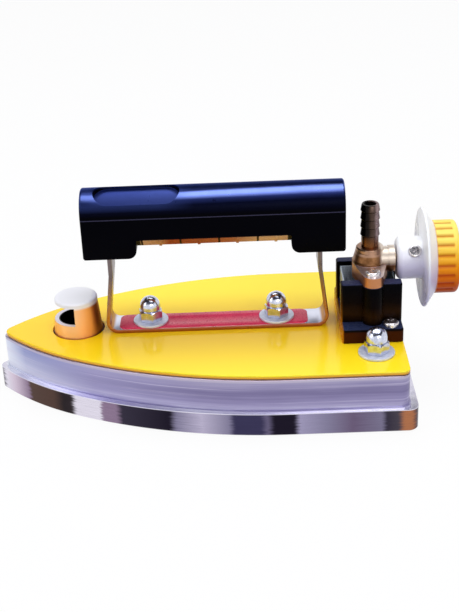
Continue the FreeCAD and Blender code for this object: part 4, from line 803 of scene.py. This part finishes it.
def copy_to(piece, name, at):
    """Another of the same piece, with its own mesh, moved by millimetres."""
    take(piece)
    bpy.ops.object.duplicate()
    twin = bpy.context.object
    twin.name = name
    return settle(twin, at)


def carve(piece, cutter, operation="DIFFERENCE"):
    """Use one piece to cut, join or trim another, and remove the tool."""
    take(piece)
    change = piece.modifiers.new("Carve", "BOOLEAN")
    change.operation = operation
    change.solver = "EXACT"
    change.object = cutter
    bpy.ops.object.modifier_apply(modifier=change.name)
    bpy.data.objects.remove(cutter)
    return piece


def block(name, low, high):
    """A rough block between two corners in millimetres, to cut with or to shape."""
    let_go()
    centre = (Vector(low) + Vector(high)) / 2 * MM
    bpy.ops.mesh.primitive_cube_add(size=1, location=centre, scale=(Vector(high) - Vector(low)) * MM)
    piece = bpy.context.object
    piece.name = name
    bpy.ops.object.transform_apply(location=True, scale=True)
    return piece


def from_solid(node, name):
    """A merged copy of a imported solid: its flat faces become whole, so that its edges can be worked."""
    take(nodes[node])
    bpy.ops.object.duplicate()
    piece = bpy.context.object
    piece.name = name
    bpy.ops.object.parent_clear(type="CLEAR_KEEP_TRANSFORM")
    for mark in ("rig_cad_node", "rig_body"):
        del piece[mark]
    bpy.ops.mesh.customdata_custom_splitnormals_clear()
    bpy.ops.object.mode_set(mode="EDIT")
    bpy.ops.mesh.select_all(action="SELECT")
    bpy.ops.mesh.remove_doubles(threshold=0.002 * MM)
    bpy.ops.mesh.dissolve_limited(angle_limit=math.radians(0.5))
    bpy.ops.object.mode_set(mode="OBJECT")
    return piece


made = []


def complete(piece, finish, slot, body, *replaced, smooth=30):
    """Give a finished piece its shading, its finish in a material slot, and its body. The slot argument is
    not used.
    """
    take(piece)
    bpy.ops.object.shade_smooth_by_angle(angle=math.radians(smooth))
    piece.data.materials.clear()
    piece.data.materials.append(finishes[finish])
    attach(piece, body)
    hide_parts(*replaced)
    made.append(piece.name)
    return piece


print("helpers ready")

# %% [markdown]
# ## Cap nuts and washers
#
# Four studs clamp the iron together, and a chromed cap nut closes each one. The nut is a hexagon whose
# corners were turned off on a lathe, with a dome on it. So a six-sided cylinder is trimmed by a turned
# blank, and a turned dome is joined on. One nut and one washer are modelled, then copied to the other
# studs.

# %% Cap nuts and washers
NAMEPLATE_TOP = 41.0
COVER_TOP = 38.0
STUDS = (("front", -30.0, 0.0, NAMEPLATE_TOP), ("rear", 46.0, 0.0, NAMEPLATE_TOP),
         ("near", 101.6, -45.0, COVER_TOP), ("far", 101.6, 45.0, COVER_TOP))
WASHER_HEIGHT = 1.6
WASHER_RADIUS = 10.5
WASHER_HOLE = 4.3
WASHER_EDGE = 0.35
NUT_FLATS = 13.0
NUT_HEX = 6.5
NUT_HEIGHT = 15.0
NUT_BLANK = ((6.7, -0.01), (7.6, 0.5), (7.6, 5.5), (6.5, 6.51))
DOME = 6.2


def quarter_round(radius, height, size, steps=5, inner=True):
    """Points of a rounded shoulder, from the wall at full radius over to the top."""
    points = []
    for step in range(steps + 1):
        angle = math.pi / 2 * step / steps
        points.append((radius - size * (1 - math.cos(angle)), height - size * (1 - math.sin(angle))))
    return points if inner else points[::-1]


def make_cap_nut():
    corner = NUT_FLATS / math.sqrt(3)
    let_go()
    bpy.ops.mesh.primitive_cylinder_add(vertices=6, radius=corner * MM, depth=NUT_HEX * MM,
                                        location=(0, 0, NUT_HEX / 2 * MM))
    nut = bpy.context.object
    nut.name = "cap_nut_front"
    bpy.ops.object.transform_apply(location=True)
    bevel_edges(nut, lambda edge: close(middle(edge).z, NUT_HEX / 2, 0.1), 0.25, 2)
    carve(nut, turn("blank", NUT_BLANK, 96), "INTERSECT")
    dome_profile = [(DOME - 0.5, NUT_HEX - 1), (DOME - 0.35, NUT_HEX + 0.3), (DOME, NUT_HEX + 0.7)]
    dome_profile += quarter_round(DOME, NUT_HEIGHT, DOME, 14)[:-1] + [(0.2, NUT_HEIGHT)]
    carve(nut, turn("dome", dome_profile), "UNION")
    return settle(nut, (STUDS[0][1], STUDS[0][2], STUDS[0][3] + WASHER_HEIGHT), turn_z=12)


def make_washer():
    profile = [(WASHER_HOLE, 0), (WASHER_RADIUS - WASHER_EDGE, 0), (WASHER_RADIUS, WASHER_EDGE)]
    profile += quarter_round(WASHER_RADIUS, WASHER_HEIGHT, WASHER_EDGE, 3)
    profile += [(WASHER_HOLE, WASHER_HEIGHT), (WASHER_HOLE, 0)]
    washer = turn("washer_front", profile, 72, hollow=True)
    return settle(washer, STUDS[0][1:])


first_nut = make_cap_nut()
first_washer = make_washer()
for label, x, y, seat in STUDS[1:]:
    shift = (x - STUDS[0][1], y - STUDS[0][2], seat - STUDS[0][3])
    nut = copy_to(first_nut, f"cap_nut_{label}", shift)
    complete(nut, "chrome", "bright_steel", "iron", "cap_nuts")
    washer = copy_to(first_washer, f"washer_{label}", shift)
    complete(washer, "washer_zinc", "bright_steel", "iron", "washers")
complete(first_nut, "chrome", "bright_steel", "iron", "cap_nuts")
complete(first_washer, "washer_zinc", "bright_steel", "iron", "washers")
print(f"{len(made)} nuts and washers, a nut is {NUT_HEIGHT} mm high")

# %% [markdown]
# ## Screws with crossed slots
#
# Five pan-head screws show: two hold the ears of the cock, two the ledges of its holder and one the
# knob's hub. Each head is turned and its edge rounded. Two thin blocks that narrow downwards are joined
# into a cross, and the cross is cut into the head, the way a punch leaves it.

# %% Screws
SLOT_HALF_WIDTH = 0.42
SLOT_DEPTH = 1.5
SLOT_REACH = 0.70
SLOT_TAPER = (0.45, 0.6, 1)
HEAD_ROUND = 0.45


def make_screw(name, head_radius, head_height, shank_radius, shank):
    """A screw that stands on its head's seat, with its shank below."""
    crown = quarter_round(head_radius, head_height, head_height * HEAD_ROUND, 6)
    profile = [(shank_radius, -shank), (shank_radius, 0), (head_radius, 0)] + crown
    screw = turn(name, profile, 48)
    for turn_z in (0, 90):
        reach = head_radius * SLOT_REACH
        low = (-reach, -SLOT_HALF_WIDTH, head_height - SLOT_DEPTH)
        wing = block("wing", low, (reach, SLOT_HALF_WIDTH, head_height + 1))
        take(wing)
        bpy.ops.object.mode_set(mode="EDIT")
        pick("FACE", lambda face: face.normal.z < -0.9)
        bpy.ops.transform.resize(value=SLOT_TAPER)
        bpy.ops.object.mode_set(mode="OBJECT")
        carve(screw, settle(wing, turn_z=turn_z))
    return screw


EAR_SIDE = 20.0
EAR_SCREW = (4.4, 2.4, 1.75, 17.0)
LEDGE_ALONG = 10.3
LEDGE_ACROSS = 24.6
LEDGE_SCREW = (4.5, 2.6, 2.5, 14.7)
HUB_SCREW = (3.8, 2.3, 2.0, 8.9)
HUB_SCREW_X = 126.9
HUB_SCREW_SEAT = 12.0
HUB_SCREW_TURN = 50

for label, side_sign, twist in (("near", -1, 20), ("far", 1, 65)):
    ear_screw = make_screw(f"ear_screw_{label}", *EAR_SCREW)
    settle(ear_screw, (COCK_X, COCK_Y + side_sign * EAR_SIDE, EAR_TOP), turn_z=twist)
    complete(ear_screw, "screw_steel", "bright_steel", "iron", "ear_screws")
    ledge_screw = make_screw(f"ledge_screw_{label}", *LEDGE_SCREW)
    across, along = side_sign * LEDGE_ACROSS, -side_sign * LEDGE_ALONG
    settle(ledge_screw, (COCK_X + along, COCK_Y + across, LEDGE_TOP), turn_z=twist + 25)
    complete(ledge_screw, "screw_steel", "bright_steel", "iron", "holder_screws")

hub_screw = make_screw("hub_screw", *HUB_SCREW)
settle(hub_screw, (0, 0, HUB_SCREW_SEAT), turn_z=30)
settle(hub_screw, (HUB_SCREW_X, COCK_Y, KNOB_AXIS), turn_x=HUB_SCREW_TURN)
complete(hub_screw, "screw_steel", "bright_steel", "knob", "knob_screw")
print(f"five screws, each with a cross {SLOT_DEPTH} mm deep")

# %% [markdown]
# ## The hose nipple
#
# The nipple is a brass tube with four saw-tooth barbs, so that a hose slides on and doesn't come off. It
# is all one turned profile: up the outside, over the mouth, down the bore and back to the start. A spin
# of the same profile would give the same shape, but extruding ring by ring keeps each ring easy to pick
# and change.

# %% Hose nipple
COLLAR_TOP = 86.6
NIPPLE_LENGTH = 26.8
NIPPLE_ROOT = 5.1
NIPPLE_BORE = 3.5
BARB_PITCH = 5.05
BARBS = 4


def make_nipple():
    profile = [(NIPPLE_BORE, 0), (NIPPLE_ROOT, 0)]
    for index in range(BARBS):
        crest = NIPPLE_LENGTH - 4 - BARB_PITCH * (BARBS - 1 - index)
        profile += [(NIPPLE_ROOT, crest - 0.5), (NIPPLE_ROOT + 0.15, crest - 0.4),
                    (NIPPLE_CREST - 0.1, crest), (NIPPLE_CREST, crest + 0.12),
                    (NIPPLE_CREST, crest + 0.4), (NIPPLE_CREST - 0.1, crest + 0.62)]
    profile += [(NIPPLE_ROOT, NIPPLE_LENGTH - 0.5), (NIPPLE_ROOT - 0.4, NIPPLE_LENGTH),
                (NIPPLE_BORE + 0.35, NIPPLE_LENGTH), (NIPPLE_BORE, NIPPLE_LENGTH - 0.4),
                (NIPPLE_BORE, 0)]
    nipple = turn("nipple", profile, 72, hollow=True)
    return settle(nipple, (COCK_X, COCK_Y, COLLAR_TOP))


complete(make_nipple(), "nipple_brass", "brass", "iron", "hose_nipple", smooth=35)
print(f"nipple {NIPPLE_LENGTH} mm long with {BARBS} barbs")

# %% [markdown]
# ## The knob
#
# The knob is white: a hub, a flat heat-shield disc and a cone. An orange cup is pressed onto it, with 22
# grooves for the fingers. Both are turned, then laid along X. The grooves are made as a hand would: every
# sixth line of the rim is picked and drawn in towards the axis, and its two neighbours half as far.

# %% Knob
HUB_START = 15.3
HUB_END = 30.3
HUB_RADIUS = 12.6
SPINDLE_HOLE = 3.05
SOCKET_RADIUS = 18.6
SOCKET_DEPTH = 4.0
POCKET_RADIUS = 4.1
POCKET_DEPTH = 8.0
CONE_END = 22.2
RING_OUT = 12.2
RING_IN = 10.8
RING_DEPTH = 0.4
GRIP_START = 36.9
GRIP_END = 50.4
GRIP_WALL = 2.8
FLUTES = 22
FLUTE_STOP = 3.2
LINES_PER_FLUTE = 6
GROOVE_LINES = ((0, 0.85), (1, 0.40))


def make_knob_base():
    hub = quarter_round(HUB_RADIUS, HUB_START, 3.0, 6, inner=False)
    hub = [(radius, 2 * HUB_START - height) for radius, height in hub]
    socket_floor = GRIP_START + SOCKET_DEPTH
    profile = [(SPINDLE_HOLE, HUB_START)] + hub + [
        (HUB_RADIUS, HUB_END - 0.8), (HUB_RADIUS + 0.25, HUB_END - 0.25), (HUB_RADIUS + 0.8, HUB_END),
        (DISC_RADIUS - 0.75, HUB_END), (DISC_RADIUS - 0.35, HUB_END + 0.12),
        (DISC_RADIUS - 0.1, HUB_END + 0.4), (DISC_RADIUS, HUB_END + 0.8),
        (DISC_RADIUS - 0.1, HUB_END + 1.2), (DISC_RADIUS - 0.35, HUB_END + 1.5),
        (DISC_RADIUS - 0.75, HUB_END + 1.7), (CONE_END, GRIP_START - 0.6),
        (CONE_END - 0.7, GRIP_START - 0.15), (CONE_END - 1, GRIP_START), (SOCKET_RADIUS, GRIP_START),
        (SOCKET_RADIUS, socket_floor), (SPINDLE_HOLE, socket_floor), (SPINDLE_HOLE, HUB_START)]
    base = turn("knob_hub_and_disc", profile, 96, hollow=True)
    settle(base, (COCK_X, COCK_Y, KNOB_AXIS), turn_y=90)
    mouth = HUB_SCREW_SEAT + POCKET_DEPTH
    pocket = turn("pocket", [(POCKET_RADIUS, HUB_SCREW_SEAT), (POCKET_RADIUS, mouth)], 40)
    settle(pocket, (HUB_SCREW_X, COCK_Y, KNOB_AXIS), turn_x=HUB_SCREW_TURN)
    return carve(base, pocket)


def make_knob_grip():
    radius = GRIP_RADIUS / MM
    shoulder = quarter_round(radius, GRIP_END, 2.0, 6)
    profile = [(radius - GRIP_WALL, GRIP_START), (radius, GRIP_START), (radius, GRIP_START + 5),
               (radius, GRIP_END - FLUTE_STOP - 0.2), (radius, GRIP_END - FLUTE_STOP + 0.5)] + shoulder
    ring_floor = GRIP_END - RING_DEPTH
    profile += [(RING_OUT, GRIP_END), (RING_OUT - RING_DEPTH, ring_floor),
                (RING_IN + RING_DEPTH, ring_floor), (RING_IN, GRIP_END)]
    outside = turn("knob_cup", profile, FLUTES * LINES_PER_FLUTE)
    take(outside)
    bpy.ops.object.mode_set(mode="EDIT")

    for lines_away, depth in GROOVE_LINES:
        slip = lines_away / LINES_PER_FLUTE

        def on_groove(vertex):
            place = vertex.co / MM
            turns = math.atan2(place.y, place.x) / (2 * math.pi) * FLUTES
            return (close(abs(turns - round(turns)), slip, 0.01) and place.z < GRIP_END - FLUTE_STOP
                    and math.hypot(place.x, place.y) > radius - 0.1)

        pick("VERT", on_groove)
        draw_in = 1 - depth / radius
        bpy.ops.transform.resize(value=(draw_in, draw_in, 1), center_override=(0, 0, 0))
    bpy.ops.object.mode_set(mode="OBJECT")
    inner = radius - GRIP_WALL
    hollow = turn("hollow", [(inner, GRIP_START - 1), (inner, GRIP_END - GRIP_WALL)])
    carve(outside, hollow)
    return settle(outside, (COCK_X, COCK_Y, KNOB_AXIS), turn_y=90)


complete(make_knob_base(), "white_plastic", "white_plastic", "knob", "knob_base")
complete(make_knob_grip(), "orange_plastic", "orange_plastic", "knob", "knob_grip", smooth=28)
print(f"knob disc {2 * DISC_RADIUS} mm across, {FLUTES} grooves")

# %% [markdown]
# ## Handle, strap and plate
#
# The handle's round top, its feet and its tilted thumb recess are right in the solid, and only its edges
# are too sharp for a moulding. So a merged copy of the solid is taken, and the edges that a mould would
# leave soft are picked by place and by how sharp they are, and bevelled. The strap gets the same care.
# The plate under the front nuts is a thin block: its four upright edges are bevelled into round corners,
# and the studs' holes are cut.

# %% Handle, strap and plate
RECESS_FROM = -60
RECESS_TO = -6
RECESS_ABOVE = 114
RECESS_ROUND = 0.7
MOULD_BELOW = 112
MOULD_ROUND = 0.5
STRAP_ROUND = 0.35
PLATE_LOW = (-48.7, -9.2, 40.5)
PLATE_HIGH = (64.7, 9.2, NAMEPLATE_TOP)
PLATE_CORNER = 4.5
PLATE_ROUND = 0.15


def sharp(edge, least=25):
    return edge.is_manifold and math.degrees(edge.calc_face_angle(0)) > least


def make_handle():
    handle = from_solid("handle", "grip_moulding")

    def on_recess(edge):
        place = middle(edge)
        in_reach = RECESS_FROM < place.x < RECESS_TO and place.y < 9 and place.z > RECESS_ABOVE
        return in_reach and sharp(edge, 12)

    def on_feet(edge):
        return middle(edge).z < MOULD_BELOW and sharp(edge, 50)

    found = bevel_edges(handle, on_recess, RECESS_ROUND, 3)
    found += bevel_edges(handle, on_feet, MOULD_ROUND, 2)
    return handle, found


def make_plate():
    """A thin plate with round corners and a hole for each stud."""
    plate = block("bare_plate", PLATE_LOW, PLATE_HIGH)
    half_way = (PLATE_LOW[2] + NAMEPLATE_TOP) / 2

    def on_rim(edge):
        return close(middle(edge).z, NAMEPLATE_TOP) and sharp(edge, 60)

    bevel_edges(plate, lambda edge: close(middle(edge).z, half_way), PLATE_CORNER, 8)
    for _, x, y, seat in STUDS[:2]:
        hole = turn("stud_hole", [(WASHER_HOLE, COVER_TOP), (WASHER_HOLE, seat + 2)], 48)
        carve(plate, settle(hole, (x, y, 0)))
    bevel_edges(plate, on_rim, PLATE_ROUND, 2)
    return plate


handle, count = make_handle()
complete(handle, "handle_black", "black_moulding", "iron", "handle", smooth=32)
strap = from_solid("handle_bracket", "strap")
count += bevel_edges(strap, lambda edge: sharp(edge, 60) and abs(middle(edge).y) > 9, STRAP_ROUND, 2)
complete(strap, "strap_steel", "steel", "iron", "handle_bracket", smooth=35)
plate = make_plate()
complete(plate, "red_plate", "red_plate", "iron", "nameplate", smooth=35)
print(f"{count} edges softened")

# %% [markdown]
# ## The solids that stay
#
# The other solids are right as they are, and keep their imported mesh. They only need a finish, which is
# put in the slots of their own materials. The sole, the chamber and the cover are the largest surfaces of
# the picture.

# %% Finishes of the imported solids
SOLID_FINISHES = {
    "sole_plate": "plated_sole", "burner_chamber": "cast_wall", "insulation_sheet": "mineral_sheet",
    "cover_plate": "yellow_enamel", "chimney": "chimney_metal", "centre_studs": "screw_steel",
    "corner_studs": "screw_steel", "handle_inserts": "plain_brass", "handle_screws": "screw_steel",
    "valve_holder": "holder_black", "air_gauze": "woven_gauze", "holder_nuts": "screw_steel",
    "valve_body": "cock_brass", "injector": "plain_brass", "valve_plug": "plain_brass",
    "spindle_seal": "seal_rubber", "gland_nut": "cock_brass", "plug_spring": "screw_steel",
    "burner": "screw_steel", "mixer_tube": "plain_brass", "burner_screws": "screw_steel",
    "chimney_screw": "screw_steel",
}
for node, finish in SOLID_FINISHES.items():
    for material_slot in nodes[node].material_slots:
        material_slot.material = finishes[finish]
print(f"{len(SOLID_FINISHES)} solids finished")

# %% [markdown]
# ## Floor, light and room
#
# The picture has a white ground and soft light from a large box above. The floor is plain and pale, and
# keeps the iron's shadow. Seen by the camera, or in metal, the floor and the room are white: Light Path
# tells those rays from the ones that light the iron. A dark cloth hangs above the box, so that polished
# metal has something dark to show as well.

# %% Studio
let_go()
bpy.ops.mesh.primitive_plane_add(size=12)
floor = bpy.context.object
floor.name = "studio_floor"
ground = Finish("studio_floor")
bounce = ground.add("LightPath", output="Is Diffuse Ray")
ground.set(Base_Color=ground.blend(bounce, (0.86, 0.86, 0.88), (0.42, 0.42, 0.45)), Roughness=0.7)
glow = ground.add("Emission", {}, {"Color": (1, 1, 1), "Strength": 1.0})


def seen_as_background(finish):
    """One for the rays that should meet a white background: the camera's, and those off metal or glass."""
    kinds = ("Is Camera Ray", "Is Glossy Ray", "Is Transmission Ray")
    camera_ray, glossy_ray, clear_ray = (finish.add("LightPath", output=kind) for kind in kinds)
    return camera_ray + glossy_ray + clear_ray


surface = Wire(ground, ground.shader.outputs[0])
share = seen_as_background(ground).spread(0, 1, 0.0, 0.93)
lit = ground.add("MixShader", {}, {0: share, 1: surface, 2: glow})
ground.plug(ground.tree.nodes["Material Output"].inputs["Surface"], lit)
floor.data.materials.append(ground.material)
floor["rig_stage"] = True

let_go()
bpy.ops.mesh.primitive_plane_add(size=4.2, location=(0, 0, 1.6))
ceiling = bpy.context.object
ceiling.name = "studio_ceiling"
cloth = Finish("studio_ceiling")
weave = cloth.noise(3).ramp((0.3, (0.08, 0.09, 0.13)), (0.7, (0.11, 0.12, 0.17)))
cloth.set(Base_Color=weave, Roughness=0.9)
ceiling.data.materials.append(cloth.material)
ceiling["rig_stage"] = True


def softbox(name, at, aim, width, height, power, colour=(1, 1, 1)):
    let_go()
    bpy.ops.object.light_add(type="AREA", location=at)
    lamp = bpy.context.object
    lamp.name = name
    lamp.data.shape = "RECTANGLE"
    lamp.data.size = width
    lamp.data.size_y = height
    lamp.data.energy = power
    lamp.data.color = colour
    lamp.rotation_euler = (Vector(aim) - Vector(at)).to_track_quat("-Z", "Y").to_euler()
    return lamp


HALF_WAY_UP = (0, 0, 0.05)
softbox("overhead_box", (0.05, 0.10, 1.15), (0.02, 0, 0.05), 1.3, 0.9, 13, (0.97, 0.98, 1.0))
softbox("left_box", (-1.2, -0.5, 0.7), HALF_WAY_UP, 0.5, 0.9, 3)
softbox("front_box", (0.5, -1.3, 0.8), HALF_WAY_UP, 0.9, 0.5, 5)

room = bpy.data.worlds.new("studio_room")
bpy.context.scene.world = room
room.use_nodes = True


class Room(Finish):
    """The world is built with the same tools as a finish."""

    def __init__(self, world):
        self.tree = world.node_tree
        self.shader = self.tree.nodes["Background"]


air = Room(room)
direction = air.add("SeparateXYZ", {}, {0: air.add("TexCoord", output="Generated")})
height = Wire(air, direction.socket.node.outputs["Z"])
walls = height.spread(0.0, 0.6).ramp((0.0, (0.58, 0.58, 0.62)), (1.0, (0.84, 0.84, 0.89)))
air.set(Color=air.blend(seen_as_background(air), walls, (1, 1, 1)), Strength=1.0)
print("floor, ceiling, three soft boxes and the room")

# %% Sizes and the end
new_low, new_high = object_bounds()
growth = (new_high - cad_high).length / MM
print(f"{len(made)} pieces modelled; the box has grown by {growth:.2f} mm")
